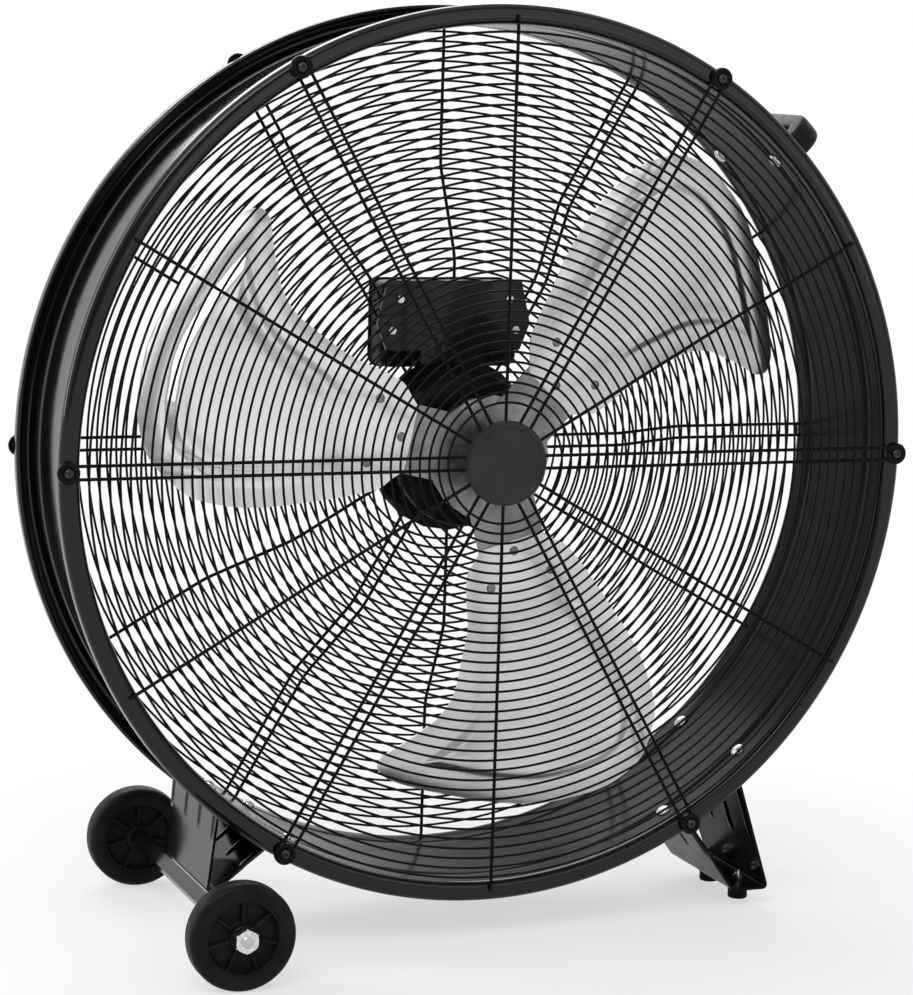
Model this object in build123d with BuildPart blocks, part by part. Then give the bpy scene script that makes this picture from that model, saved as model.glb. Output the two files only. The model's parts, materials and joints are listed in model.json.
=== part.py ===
from build123d import *
import os
from math import cos, radians, sin, sqrt

# Drum fan: a rolled steel drum on a two-wheeled stand, with a wire grille at each end and a
# three-blade rotor in front of a disc motor. Millimetres. X runs to the right as seen from the
# front, Y runs to the back and Z runs up. The origin is on the floor under the middle of the drum.

os.makedirs("parts", exist_ok=True)

# ---------------------------------------------------------------- driving dimensions

# drum
drum_floor_gap = 36.0
drum_outer_radius = 425.0
rim_height = 19.0
drum_wall = 1.5
drum_depth = 186.0
rim_depth = 15.0
rim_gap = 1.0

# wire grilles
ring_wire_radius = 1.6
spoke_wire = 3.2
ring_pitch = 9.5
front_ring_least_radius = 57.5
rear_ring_least_radius = 92.0
outer_ring_gap = 6.5
weld_sink = 0.35
hairpin_gap = 12.0
spoke_rim_lap = 9.0
dish_depth = 46.0
dish_radius = 183.0
dish_shoulder_radius = 270.0
ring_sides = 12
wire_sides = 3

# clips that hold the grilles on the rims
clip_angles = [0.0, 60.0, 120.0, 180.0, 240.0, 300.0]
single_spoke_angles = [30.0, 90.0, 150.0, 210.0, 270.0, 330.0]
clip_radius = 10.5
clip_height = 3.0
clip_inset = 7.0
clip_screw_head_radius = 4.2
clip_screw_head_height = 2.4
clip_screw_radius = 2.1
clip_screw_length = 14.0
clip_sides = 8
loop_corner = 4.0
hexagon_sides = 6
shank_sides = 4

# middle of the front grille
front_hub_plate_radius = 39.0
hub_plate_wall = 1.5
centre_cap_radius = 40.5
centre_cap_height = 7.0
centre_cap_lip = 3.0
front_spoke_inner_radius = 30.0

# rear mounting plate
mount_plate_radius = 86.0
mount_plate_wall = 2.5
mount_tab_top = 160.0
mount_tab_half_width = 80.0
mount_tab_middle = 118.0
mount_tab_top_half_width = 70.0
mount_tab_bottom = 92.0
mount_neck_half_width = 34.0
rear_spoke_inner_radius = 44.0

# motor
motor_radius = 72.0
motor_cap_radius = 75.0
motor_cap_height = 14.0
motor_cap_bevel = 4.5
motor_body_length = 27.0
motor_boss_radius = 24.0
motor_boss_height = 5.0
motor_sides = 20
motor_fins = 10
motor_fin_height = 2.2
motor_fin_width = 4.0
motor_screw_circle = 58.0
motor_screw_head_radius = 5.0
motor_screw_head_height = 3.5
motor_screw_radius = 2.5
motor_screw_length = 12.0

# shaft and rotor
shaft_radius = 8.0
shaft_clearance = 0.05
shaft_tail = 24.0
rotor_forward = 61.0
hub_disc_radius = 60.0
hub_disc_height = 5.5
hub_collar_radius = 20.0
hub_collar_length = 24.0
hub_nut_radius = 13.0
hub_nut_height = 9.0
shaft_nose = 3.0
arm_wall = 3.0
arm_reach = 136.0
arm_half_width = 33.0
hub_sides = 16

# blades
blade_angles = [46.5, 166.5, 286.5]
blade_wall = 1.6
blade_tip_slope = 0.29
blade_slab_half_width = 250.0
blade_tip_radius = 353.0
blade_root_radius = 89.0
blade_root_angle = 21.0
lead_foot_radius = 122.0
lead_foot_angle = 26.5
lead_middle_radius = 222.0
lead_middle_angle = 23.4
lead_shoulder_radius = 296.0
lead_shoulder_angle = 19.0
lead_round_radius = 337.0
lead_round_angle = 12.5
tip_start_angle = 3.0
tip_middle_drop = 8.0
tip_middle_angle = -12.0
tip_end_radius = 324.0
tip_end_angle = -31.0
corner_round_radius = 317.0
corner_round_angle = -33.6
trail_corner_radius = 303.0
trail_corner_angle = -33.0
trail_flare_radius = 252.0
trail_flare_angle = -25.0
trail_waist_radius = 205.0
trail_waist_angle = -21.6
trail_foot_radius = 124.0
trail_foot_angle = -26.0
panel_start = 152.0
panel_end = 322.0
panel_lead_start = 40.0
panel_lead_end = 70.0
panel_trail_start = 45.0
panel_trail_end = 130.0
panel_rounding = 55.0
panel_rise = 4.0

# blade rivets
rivet_radius = 4.2
rivet_head_height = 2.4
inner_rivet_radius = 94.0
outer_rivet_radius = 126.5
outer_rivet_angle = 14.0

# control box behind the rear grille
box_gap = 6.2
box_half_width = 74.0
box_bottom = 74.0
box_height = 84.0
box_depth = 30.0
box_wall = 2.5
box_corner = 8.0
cover_wall = 3.0
cover_overhang = 2.0
box_screw_inset = 10.0
cover_screw_head_radius = 3.6
cover_screw_head_height = 2.2
cover_screw_radius = 1.8
cover_screw_length = 10.0
plate_screw_head_radius = 4.0
plate_screw_head_height = 2.6
plate_screw_radius = 2.2
plate_screw_low = 111.5
plate_screw_low_offset = 64.5
plate_screw_high = 142.0
plate_screw_high_offset = 57.0
switch_size = 34.0
switch_depth = 20.0
switch_offset = 30.0
spindle_radius = 3.0
spindle_clearance = 0.05
knob_radius = 17.0
knob_height = 13.0
knob_gap = 1.0
knob_sides = 12
knob_grip_width = 7.0
knob_grip_height = 5.0
capacitor_radius = 11.5
capacitor_half_length = 26.0
capacitor_offset = -30.0
gland_radius = 9.5
gland_length = 16.0
gland_bore_radius = 4.0
gland_offset = -46.0
gland_inset = 14.0
gland_thread_radius = 7.5

# legs
leg_wall = 2.5
leg_hole_reach = 5.0
leg_upper_bolt_angle = 47.6
leg_lower_bolt_angle = 61.4
leg_flange_reach = 13.0
leg_taper = 15.0
leg_bolt_spacing = 130.0
foot_strip_height = 16.9
foot_strip_centre = 293.0
foot_strip_width = 36.0
leg_channel_depth = 1.0
leg_channel_width = 5.0
leg_channel_pitch = 30.0
leg_channel_start = 24.0
leg_channel_end = 30.0

# bolts through the drum
bolt_head_radius = 7.5
bolt_head_height = 4.0
bolt_radius = 3.6
bolt_hole_clearance = 0.4
bolt_hole_reach = 4.5
nut_radius = 7.5
nut_height = 6.0
bolt_end = 2.0

# wheels and axle
wheel_radius = 50.0
wheel_width = 25.0
wheel_track = 354.0
wheel_axle_offset = 276.0
wheel_sides = 20
tyre_inner_radius = 33.0
wheel_web = 5.0
wheel_rib = 2.4
wheel_rib_count = 7
wheel_rib_setback = 4.0
wheel_boss_radius = 13.0
wheel_boss_sides = 8
axle_radius = 6.0
axle_clearance = 0.05
sleeve_radius = 9.0
sleeve_gap = 1.0
sleeve_sides = 8
axle_nut_radius = 12.0
axle_nut_height = 8.0
axle_end = 2.0
axle_strip_width = 16.0

# rubber feet
foot_centre = 297.5
foot_spacing = 65.0
foot_radius = 10.8
foot_sides = 12
foot_stud_depth = 8.0
foot_stud_radius = 3.0
foot_stud_rise = 9.0
foot_nut_radius = 5.8
foot_nut_height = 4.5

# carrying handle
handle_angle = 44.6
handle_bolt_spacing = 119.0
handle_height = 51.0
handle_width = 26.0
handle_grip_thickness = 20.0
handle_leg_thickness = 22.0
handle_outer_round = 20.0
handle_inner_round = 8.0
handle_bolt_grip = 12.0

# ---------------------------------------------------------------- derived places

axis_height = drum_outer_radius + drum_floor_gap
drum_front = -drum_depth / 2
drum_back = drum_depth / 2
drum_bore_radius = drum_outer_radius - rim_height
drum_skin_radius = drum_bore_radius + drum_wall
front_spoke_face = drum_front - spoke_wire
rear_spoke_face = drum_back + spoke_wire
ring_stand_off = ring_wire_radius / 2 - weld_sink
outer_ring_limit = drum_bore_radius - outer_ring_gap
spoke_end_radius = drum_bore_radius + spoke_rim_lap
clip_circle = drum_outer_radius - clip_inset
clear_half_length = drum_depth / 2 - rim_depth - rim_gap
leg_top_half_length = clear_half_length
leg_bottom_half_length = clear_half_length - leg_taper
handle_length = 2 * clear_half_length
bolt_seat_radius = sqrt(drum_bore_radius**2 - bolt_head_radius**2)
bolt_seat_drop = drum_skin_radius - bolt_seat_radius
dish_middle = drum_back + spoke_wire / 2 - dish_depth
dish_front = dish_middle - spoke_wire / 2
dish_back = dish_middle + spoke_wire / 2
mount_plate_front = dish_front - mount_plate_wall
motor_back = mount_plate_front
motor_body_back = motor_back - motor_cap_height
motor_body_front = motor_body_back - motor_body_length
motor_front = motor_body_front - motor_cap_height
shaft_back = motor_body_front + shaft_tail
hub_front = -rotor_forward + blade_wall
hub_back = hub_front + hub_disc_height
shaft_front = hub_front - hub_nut_height - shaft_nose
box_front = dish_back + box_gap
box_back = box_front + box_depth
cover_back = box_back + cover_wall
box_middle = box_bottom + box_height / 2
gland_height = box_bottom + gland_inset
axle_height = wheel_radius
wheel_middle = wheel_track / 2
wheel_inner_face = wheel_middle - wheel_width / 2
wheel_outer_face = wheel_middle + wheel_width / 2
sleeve_end = wheel_inner_face - sleeve_gap
axle_nut_face = wheel_outer_face + sleeve_gap
axle_strip_height = axle_height + sleeve_radius - weld_sink


def upright(distance, angle=0.0, facing=-1):
    """Plane square to the rotor's axis, facing the front; its x is turned by the angle."""
    turned = (cos(radians(angle)), 0, sin(radians(angle)))
    return Plane(origin=(0, distance, axis_height), x_dir=turned, z_dir=(0, facing, 0))


def rearward(distance, angle=0.0):
    """The same kind of plane facing the back, so that its y points down."""
    return upright(distance, angle, 1)


def radial_point(radius, angle):
    """Local point of an upright plane at a radius and an angle anticlockwise from +X."""
    return (radius * cos(radians(angle)), radius * sin(radians(angle)))


def spoke_plane(angle, side):
    """Plane holding a spoke: x runs outwards, y runs to the back, side shifts it along the rim."""
    outward = Vector(cos(radians(angle)), 0, sin(radians(angle)))
    along_rim = Vector(-sin(radians(angle)), 0, cos(radians(angle)))
    return Plane(
        origin=Vector(0, 0, axis_height) + along_rim * side, x_dir=outward, z_dir=along_rim
    )


def skin_plane(angle, distance, height=0.0):
    """Plane on the drum's outer skin, with z pointing away from the rotor's axis."""
    outward = Vector(cos(radians(angle)), 0, sin(radians(angle)))
    centre = Vector(0, distance, axis_height) + outward * (drum_skin_radius + height)
    return Plane(origin=centre, x_dir=(0, 1, 0), z_dir=outward)


def finish(part, label):
    """Names a finished piece and writes it out."""
    part.label = label
    export_step(part, "parts/" + label + ".step")


def prism(plane, radius, height, sides):
    """Many-sided bar standing on a plane."""
    with BuildSketch(plane) as base:
        RegularPolygon(radius, sides)
    extrude(base.sketch, amount=height)


def screw(plane, head_radius, head_height, radius, length):
    """Head standing on a plane, and its shank behind the plane."""
    prism(plane, head_radius, head_height, hexagon_sides)
    prism(plane, radius, -length, shank_sides)


# ---------------------------------------------------------------- drum shell

bolt_angles = [
    -leg_upper_bolt_angle,
    -leg_lower_bolt_angle,
    leg_upper_bolt_angle - 180,
    leg_lower_bolt_angle - 180,
]
leg_bolt_places = [(a, s * leg_bolt_spacing / 2) for a in bolt_angles for s in (-1, 1)]
handle_bolt_places = [(handle_angle, s * handle_bolt_spacing / 2) for s in (-1, 1)]
bolt_hole_radius = bolt_radius + bolt_hole_clearance


def rim_outline(end, inward):
    """Half of the drum's section at one end: a closed rolled rim standing out from the wall."""
    return [
        (drum_bore_radius, end),
        (drum_outer_radius, end),
        (drum_outer_radius, end + inward * rim_depth),
        (drum_skin_radius, end + inward * rim_depth),
    ]


with BuildPart() as drum_shell:
    with BuildSketch(Plane.XY.offset(axis_height)):
        with BuildLine():
            front_rim = rim_outline(drum_front, 1)
            rear_rim = rim_outline(drum_back, -1)
            Polyline(front_rim + rear_rim[::-1], close=True)
        make_face()
    revolve(axis=Axis((0, 0, axis_height), (0, 1, 0)))
    for hole_angle, hole_place in leg_bolt_places + handle_bolt_places:
        with BuildSketch(skin_plane(hole_angle, hole_place)):
            Rectangle(2 * bolt_hole_radius, 2 * bolt_hole_radius)
        extrude(amount=bolt_hole_reach, both=True, mode=Mode.SUBTRACT)
finish(drum_shell.part, "drum_shell")

# ---------------------------------------------------------------- wire grilles

ring_steps = range(int((outer_ring_limit - front_ring_least_radius) / ring_pitch) + 1)
all_ring_radii = [front_ring_least_radius + k * ring_pitch for k in reversed(ring_steps)]
rear_ring_radii = [r for r in all_ring_radii if r > rear_ring_least_radius]


def wire_ring(radius, plane):
    """One wire ring: a three-sided wire carried round a many-sided path."""
    with BuildPart() as ring:
        with BuildLine(plane) as path:
            turns = [k * 360 / ring_sides for k in range(ring_sides)]
            Polyline([radial_point(radius, turn) for turn in turns], close=True)
        start = path.line.edges()[0]
        wire_plane = Plane(origin=start @ 0, x_dir=plane.z_dir, z_dir=start % 0)
        with BuildSketch(wire_plane):
            RegularPolygon(ring_wire_radius, wire_sides)
        sweep(path=path.line, transition=Transition.RIGHT)
    return ring.part


def rear_spoke_middle(radius):
    """Y of the rear spokes' middle: level at the rim, sloping in to a level dish."""
    share = (dish_shoulder_radius - radius) / (dish_shoulder_radius - dish_radius)
    return drum_back + spoke_wire / 2 - dish_depth * min(max(share, 0.0), 1.0)


with BuildPart() as front_grille_rings:
    add([wire_ring(r, upright(front_spoke_face - ring_stand_off)) for r in all_ring_radii])
finish(front_grille_rings.part, "front_grille_rings")

def rear_ring(radius):
    """One ring welded to the back of the rear spokes, wherever they run."""
    return wire_ring(radius, rearward(rear_spoke_middle(radius) + spoke_wire / 2 + ring_stand_off))


with BuildPart() as rear_grille_rings:
    add([rear_ring(r) for r in rear_ring_radii if r > dish_shoulder_radius])
finish(rear_grille_rings.part, "rear_grille_rings")

with BuildPart() as rear_slope_rings:
    add([rear_ring(r) for r in rear_ring_radii if dish_radius < r <= dish_shoulder_radius])
finish(rear_slope_rings.part, "rear_slope_rings")

with BuildPart() as rear_dish_rings:
    add([rear_ring(r) for r in rear_ring_radii if r <= dish_radius])
finish(rear_dish_rings.part, "rear_dish_rings")


def add_hairpin(plane, inner_radius):
    """Flat hairpin: two parallel wires joined by a squared loop round the clip's screw."""
    loop_end = clip_circle + hairpin_gap / 2 + spoke_wire / 2
    length = loop_end - inner_radius
    with BuildSketch(plane) as pin:
        with Locations((inner_radius + length / 2, 0)):
            Rectangle(length, hairpin_gap + spoke_wire)
        chamfer(pin.vertices().group_by(Axis.X)[-1], loop_corner)
        with Locations((inner_radius + (length - spoke_wire) / 2, 0)):
            Rectangle(length - spoke_wire, hairpin_gap - spoke_wire, mode=Mode.SUBTRACT)
    extrude(pin.sketch, amount=spoke_wire, clean=False)


with BuildPart() as front_grille_spokes:
    for clip_angle in clip_angles:
        add_hairpin(upright(drum_front, clip_angle), front_spoke_inner_radius)
    for spoke_angle in single_spoke_angles:
        with BuildSketch(spoke_plane(spoke_angle, 0)):
            with Locations((front_spoke_inner_radius, drum_front)):
                Rectangle(
                    spoke_end_radius - front_spoke_inner_radius,
                    spoke_wire,
                    align=(Align.MIN, Align.MAX),
                )
        extrude(amount=spoke_wire / 2, both=True, clean=False)
finish(front_grille_spokes.part, "front_grille_spokes")


def add_bent_spoke(angle, side, end_radius):
    """Square wire that runs level from the rim, slopes in and runs level again to the middle."""
    bend = [
        (rear_spoke_inner_radius, dish_middle),
        (dish_radius, dish_middle),
        (dish_shoulder_radius, drum_back + spoke_wire / 2),
        (end_radius, drum_back + spoke_wire / 2),
    ]
    half = spoke_wire / 2
    front_edge = [(radius, place - half) for radius, place in bend]
    back_edge = [(radius, place + half) for radius, place in bend[::-1]]
    with BuildSketch(spoke_plane(angle, side)) as wire:
        with BuildLine():
            Polyline(front_edge + back_edge, close=True)
        make_face()
    extrude(wire.sketch, amount=half, both=True, clean=False)


with BuildPart() as rear_grille_spokes:
    for clip_angle in clip_angles:
        add_bent_spoke(clip_angle, -hairpin_gap / 2, clip_circle)
        add_bent_spoke(clip_angle, hairpin_gap / 2, clip_circle)
        loop_centre = clip_circle + hairpin_gap / 2
        with BuildSketch(rearward(drum_back, clip_angle)) as loop:
            with Locations(((clip_circle + loop_centre) / 2, 0)):
                Rectangle(loop_centre - clip_circle + spoke_wire, hairpin_gap + spoke_wire)
            chamfer(loop.vertices().group_by(Axis.X)[-1], loop_corner)
            with Locations((clip_circle, 0)):
                Rectangle(hairpin_gap - spoke_wire, hairpin_gap - spoke_wire, mode=Mode.SUBTRACT)
        extrude(amount=spoke_wire)
    for spoke_angle in single_spoke_angles:
        add_bent_spoke(spoke_angle, 0, spoke_end_radius)
finish(rear_grille_spokes.part, "rear_grille_spokes")

# ---------------------------------------------------------------- clips and their screws


def clip_plane(angle, distance, facing):
    """Plane of a clip on the rim, facing the front or the back."""
    x, z = radial_point(clip_circle, angle)
    return Plane(origin=(x, distance, axis_height + z), x_dir=(1, 0, 0), z_dir=(0, facing, 0))


for clip_name, clip_face, facing in (
    ("front", front_spoke_face, -1),
    ("rear", rear_spoke_face, 1),
):
    clip_top = clip_face + facing * clip_height
    with BuildPart() as clips:
        for clip_angle in clip_angles:
            prism(clip_plane(clip_angle, clip_face, facing), clip_radius, clip_height, clip_sides)
    finish(clips.part, clip_name + "_clips")
    with BuildPart() as clip_screws:
        for clip_angle in clip_angles:
            screw(
                clip_plane(clip_angle, clip_top, facing),
                clip_screw_head_radius,
                clip_screw_head_height,
                clip_screw_radius,
                clip_screw_length,
            )
    finish(clip_screws.part, clip_name + "_clip_screws")

# ---------------------------------------------------------------- middle of the front grille

with BuildPart() as front_hub_plate:
    prism(upright(drum_front + hub_plate_wall), front_hub_plate_radius, hub_plate_wall, hub_sides)
finish(front_hub_plate.part, "front_hub_plate")

with BuildPart() as centre_cap:
    prism(upright(front_spoke_face), centre_cap_radius, centre_cap_height, hub_sides)
    chamfer(centre_cap.faces().sort_by(Axis.Y)[0].edges(), centre_cap_lip)
finish(centre_cap.part, "centre_cap")

# ---------------------------------------------------------------- rear mounting plate

motor_screw_angles = [45.0, 135.0, 225.0, 315.0]
plate_screw_points = [
    (side * x, z)
    for side in (-1, 1)
    for x, z in (
        (plate_screw_low_offset, plate_screw_low),
        (plate_screw_high_offset, plate_screw_high),
    )
]

with BuildPart() as motor_mount_plate:
    with BuildSketch(upright(dish_front)):
        RegularPolygon(mount_plate_radius, motor_sides)
        with BuildLine():
            Polyline(
                (-mount_neck_half_width, 0),
                (mount_neck_half_width, 0),
                (mount_neck_half_width, mount_tab_bottom),
                (mount_tab_top_half_width, mount_tab_bottom),
                (mount_tab_half_width, mount_tab_middle),
                (mount_tab_top_half_width, mount_tab_top),
                (-mount_tab_top_half_width, mount_tab_top),
                (-mount_tab_half_width, mount_tab_middle),
                (-mount_tab_top_half_width, mount_tab_bottom),
                (-mount_neck_half_width, mount_tab_bottom),
                close=True,
            )
        make_face()
    extrude(amount=mount_plate_wall)
finish(motor_mount_plate.part, "motor_mount_plate")

# ---------------------------------------------------------------- motor

bore_radius = shaft_radius + shaft_clearance

with BuildPart() as motor_rear_cap:
    prism(upright(motor_back), motor_cap_radius, motor_cap_height, motor_sides)
    chamfer(motor_rear_cap.faces().sort_by(Axis.Y)[-1].edges(), motor_cap_bevel)
finish(motor_rear_cap.part, "motor_rear_cap")

with BuildPart() as motor_body:
    prism(upright(motor_body_back), motor_radius, motor_body_length, motor_sides)
    with BuildSketch(upright(motor_body_back)):
        with PolarLocations(motor_radius, motor_fins):
            Rectangle(2 * motor_fin_height, motor_fin_width)
    extrude(amount=motor_body_length)
    with BuildSketch(upright(shaft_back + shaft_clearance)):
        Circle(bore_radius)
    extrude(amount=shaft_back - motor_front, mode=Mode.SUBTRACT)
finish(motor_body.part, "motor_body")

with BuildPart() as motor_front_cap:
    prism(upright(motor_body_front), motor_cap_radius, motor_cap_height, motor_sides)
    chamfer(motor_front_cap.faces().sort_by(Axis.Y)[0].edges(), motor_cap_bevel)
    prism(upright(motor_front), motor_boss_radius, motor_boss_height, hub_sides)
    with BuildSketch(upright(motor_body_front)):
        Circle(bore_radius)
    extrude(amount=motor_cap_height + motor_boss_height, mode=Mode.SUBTRACT)
finish(motor_front_cap.part, "motor_front_cap")

with BuildPart() as motor_mount_screws:
    for screw_angle in motor_screw_angles:
        x, z = radial_point(motor_screw_circle, screw_angle)
        screw(
            Plane(origin=(x, dish_front, axis_height + z), x_dir=(1, 0, 0), z_dir=(0, 1, 0)),
            motor_screw_head_radius,
            motor_screw_head_height,
            motor_screw_radius,
            motor_screw_length,
        )
finish(motor_mount_screws.part, "motor_mount_screws")

with BuildPart() as motor_shaft:
    with BuildSketch(upright(shaft_back)):
        Circle(shaft_radius)
    extrude(amount=shaft_back - shaft_front)
finish(motor_shaft.part, "motor_shaft")

# ---------------------------------------------------------------- rotor


def blade_front(reach, across):
    """Forward distance of a blade's front face at a reach along the blade and across it."""
    return rotor_forward + blade_tip_slope * across * reach / blade_tip_radius


def slab_section(reach, front_offset, wall):
    """Slanted section of the twisted sheet at one reach along the blade."""
    half = blade_slab_half_width
    plane = Plane(origin=(reach, 0, axis_height), x_dir=(0, 0, 1), z_dir=(1, 0, 0))
    left = blade_front(reach, -half) + front_offset
    right = blade_front(reach, half) + front_offset
    with BuildSketch(plane) as section:
        with BuildLine():
            Polyline(
                (-half, left),
                (half, right),
                (half, right - wall),
                (-half, left - wall),
                close=True,
            )
        make_face()
    return section.sketch


def twisted_sheet(outline, front_offset, wall):
    """Sheet that twists along its reach, trimmed to a plan outline, for a blade along +X."""
    with BuildPart() as sheet:
        inner_end = slab_section(shaft_radius, front_offset, wall)
        outer_end = slab_section(blade_tip_radius + shaft_radius, front_offset, wall)
        loft([inner_end, outer_end], ruled=True)
        with BuildSketch(upright(0)):
            add(outline)
        extrude(amount=2 * rotor_forward, mode=Mode.INTERSECT)
    return sheet.part


with BuildSketch() as blade_outline:
    with BuildLine():
        lead_foot = radial_point(lead_foot_radius, lead_foot_angle)
        shoulder = radial_point(lead_shoulder_radius, lead_shoulder_angle)
        tip_start = radial_point(blade_tip_radius, tip_start_angle)
        tip_end = radial_point(tip_end_radius, tip_end_angle)
        trail_corner = radial_point(trail_corner_radius, trail_corner_angle)
        trail_waist = radial_point(trail_waist_radius, trail_waist_angle)
        trail_foot = radial_point(trail_foot_radius, trail_foot_angle)
        tip_middle = radial_point(blade_tip_radius - tip_middle_drop, tip_middle_angle)
        ThreePointArc(lead_foot, radial_point(lead_middle_radius, lead_middle_angle), shoulder)
        ThreePointArc(shoulder, radial_point(lead_round_radius, lead_round_angle), tip_start)
        ThreePointArc(tip_start, tip_middle, tip_end)
        ThreePointArc(tip_end, radial_point(corner_round_radius, corner_round_angle), trail_corner)
        ThreePointArc(trail_corner, radial_point(trail_flare_radius, trail_flare_angle), trail_waist)
        Polyline(
            trail_waist,
            trail_foot,
            radial_point(blade_root_radius, -blade_root_angle),
            radial_point(blade_root_radius, blade_root_angle),
            lead_foot,
        )
    make_face()

with BuildSketch() as panel_outline:
    with BuildLine():
        Polyline(
            (panel_start, -panel_trail_start),
            (panel_end - panel_rounding, -panel_trail_end),
            (panel_end, -panel_lead_end),
            (panel_end, panel_lead_start),
            (panel_end - panel_rounding, panel_lead_end),
            (panel_start, panel_lead_start),
            close=True,
        )
    make_face()

blade_sheet = twisted_sheet(blade_outline.sketch, 0, blade_wall)
panel_sheet = twisted_sheet(panel_outline.sketch, panel_rise, blade_wall + panel_rise)
rotor_axis = Axis((0, 0, axis_height), (0, -1, 0))

with BuildPart() as fan_blades:
    for blade_angle in blade_angles:
        for sheet_piece in (blade_sheet, panel_sheet):
            add(sheet_piece.rotate(rotor_axis, blade_angle))
finish(fan_blades.part, "fan_blades")

with BuildSketch() as arm_outline:
    with BuildLine():
        Polyline(
            (shaft_radius, -arm_half_width),
            (arm_reach, -arm_half_width),
            (arm_reach, arm_half_width),
            (shaft_radius, arm_half_width),
            close=True,
        )
    make_face()

arm_sheet = twisted_sheet(arm_outline.sketch, -blade_wall, arm_wall)

with BuildPart() as hub_spider:
    for blade_angle in blade_angles:
        add(arm_sheet.rotate(rotor_axis, blade_angle))
    prism(upright(hub_back), hub_disc_radius, hub_disc_height, hub_sides)
    prism(upright(hub_back + hub_collar_length), hub_collar_radius, hub_collar_length, hub_sides)
    with BuildSketch(upright(hub_back + hub_collar_length)):
        Circle(bore_radius)
    extrude(amount=hub_collar_length + hub_disc_height + arm_wall, mode=Mode.SUBTRACT)
finish(hub_spider.part, "hub_spider")

with BuildPart() as hub_nut:
    prism(upright(hub_front), hub_nut_radius, hub_nut_height, hexagon_sides)
finish(hub_nut.part, "hub_nut")

rivet_spots = [
    (inner_rivet_radius, 0.0),
    radial_point(outer_rivet_radius, outer_rivet_angle),
    radial_point(outer_rivet_radius, -outer_rivet_angle),
]

with BuildPart() as blade_rivets:
    for blade_angle in blade_angles:
        for reach, across in rivet_spots:
            x, z = radial_point(reach, blade_angle)
            side_x, side_z = radial_point(across, blade_angle + 90)
            front_end = -blade_front(reach, across) - rivet_head_height
            spot = (x + side_x, front_end, axis_height + z + side_z)
            length = blade_wall + arm_wall + 2 * rivet_head_height
            rivet_plane = Plane(origin=spot, x_dir=(1, 0, 0), z_dir=(0, 1, 0))
            prism(rivet_plane, rivet_radius, length, hexagon_sides)
finish(blade_rivets.part, "blade_rivets")

# ---------------------------------------------------------------- control box


def box_face(plane, grow):
    """Rectangle with cut corners for the box and its cover."""
    with BuildSketch(plane) as face:
        with Locations((0, box_middle)):
            Rectangle(2 * (box_half_width + grow), box_height + 2 * grow)
        chamfer(face.vertices(), box_corner + grow)
    return face.sketch


with BuildPart() as control_box:
    extrude(box_face(upright(box_back), 0), amount=box_depth)
    hollow = box_face(upright(box_back), -box_wall)
    extrude(hollow, amount=box_depth - box_wall, mode=Mode.SUBTRACT)
finish(control_box.part, "control_box")

with BuildPart() as control_box_cover:
    extrude(box_face(upright(cover_back), cover_overhang), amount=cover_wall)
    with BuildSketch(upright(cover_back)):
        with Locations((switch_offset, box_middle)):
            Circle(spindle_radius + spindle_clearance)
        with Locations((gland_offset, gland_height)):
            RegularPolygon(gland_thread_radius, hexagon_sides)
    extrude(amount=cover_wall, mode=Mode.SUBTRACT)
finish(control_box_cover.part, "control_box_cover")

cover_screw_points = [
    (x, box_middle + z)
    for x in (box_screw_inset - box_half_width, box_half_width - box_screw_inset)
    for z in (box_screw_inset - box_height / 2, box_height / 2 - box_screw_inset)
]

with BuildPart() as cover_screws:
    for x, z in cover_screw_points:
        screw(
            Plane(origin=(x, cover_back, axis_height + z), x_dir=(1, 0, 0), z_dir=(0, 1, 0)),
            cover_screw_head_radius,
            cover_screw_head_height,
            cover_screw_radius,
            cover_screw_length,
        )
finish(cover_screws.part, "cover_screws")

with BuildPart() as box_screws:
    for x, z in plate_screw_points:
        screw(
            Plane(origin=(x, mount_plate_front, axis_height + z), x_dir=(1, 0, 0), z_dir=(0, -1, 0)),
            plate_screw_head_radius,
            plate_screw_head_height,
            plate_screw_radius,
            box_front + box_wall + plate_screw_radius - mount_plate_front,
        )
finish(box_screws.part, "box_screws")

with BuildPart() as speed_switch:
    with BuildSketch(upright(box_back)):
        with Locations((switch_offset, box_middle)):
            Rectangle(switch_size, switch_size)
    extrude(amount=switch_depth)
finish(speed_switch.part, "speed_switch")

with BuildPart() as run_capacitor:
    with BuildSketch(Plane.YZ.offset(capacitor_offset)):
        with Locations((box_front + box_wall + capacitor_radius, axis_height + box_middle)):
            RegularPolygon(capacitor_radius, hexagon_sides)
    extrude(amount=capacitor_half_length, both=True)
finish(run_capacitor.part, "run_capacitor")

knob_face = cover_back + knob_gap

with BuildPart() as speed_knob:
    with BuildSketch(rearward(box_back)):
        with Locations((switch_offset, -box_middle)):
            Circle(spindle_radius)
    extrude(amount=cover_wall + knob_gap)
    with BuildSketch(rearward(knob_face)):
        with Locations((switch_offset, -box_middle)):
            RegularPolygon(knob_radius, knob_sides)
    extrude(amount=knob_height - knob_grip_height)
    with BuildSketch(rearward(knob_face + knob_height - knob_grip_height)):
        with Locations((switch_offset, -box_middle)):
            Rectangle(knob_grip_width, 2 * knob_radius - knob_grip_width)
    extrude(amount=knob_grip_height)
finish(speed_knob.part, "speed_knob")

with BuildPart() as cable_gland:
    for gland_face, gland_reach, gland_size in (
        (cover_back, -cover_wall, gland_thread_radius),
        (cover_back, gland_length, gland_radius),
    ):
        with BuildSketch(rearward(gland_face)):
            with Locations((gland_offset, -gland_height)):
                RegularPolygon(gland_size, hexagon_sides)
                Circle(gland_bore_radius, mode=Mode.SUBTRACT)
        extrude(amount=gland_reach)
finish(cable_gland.part, "cable_gland")

# ---------------------------------------------------------------- legs


def flange_point(angle, along):
    """Point on the tangent line that touches the drum's skin at an angle."""
    x, z = radial_point(drum_skin_radius, angle)
    return (x - along * sin(radians(angle)), z + along * cos(radians(angle)))


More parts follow.
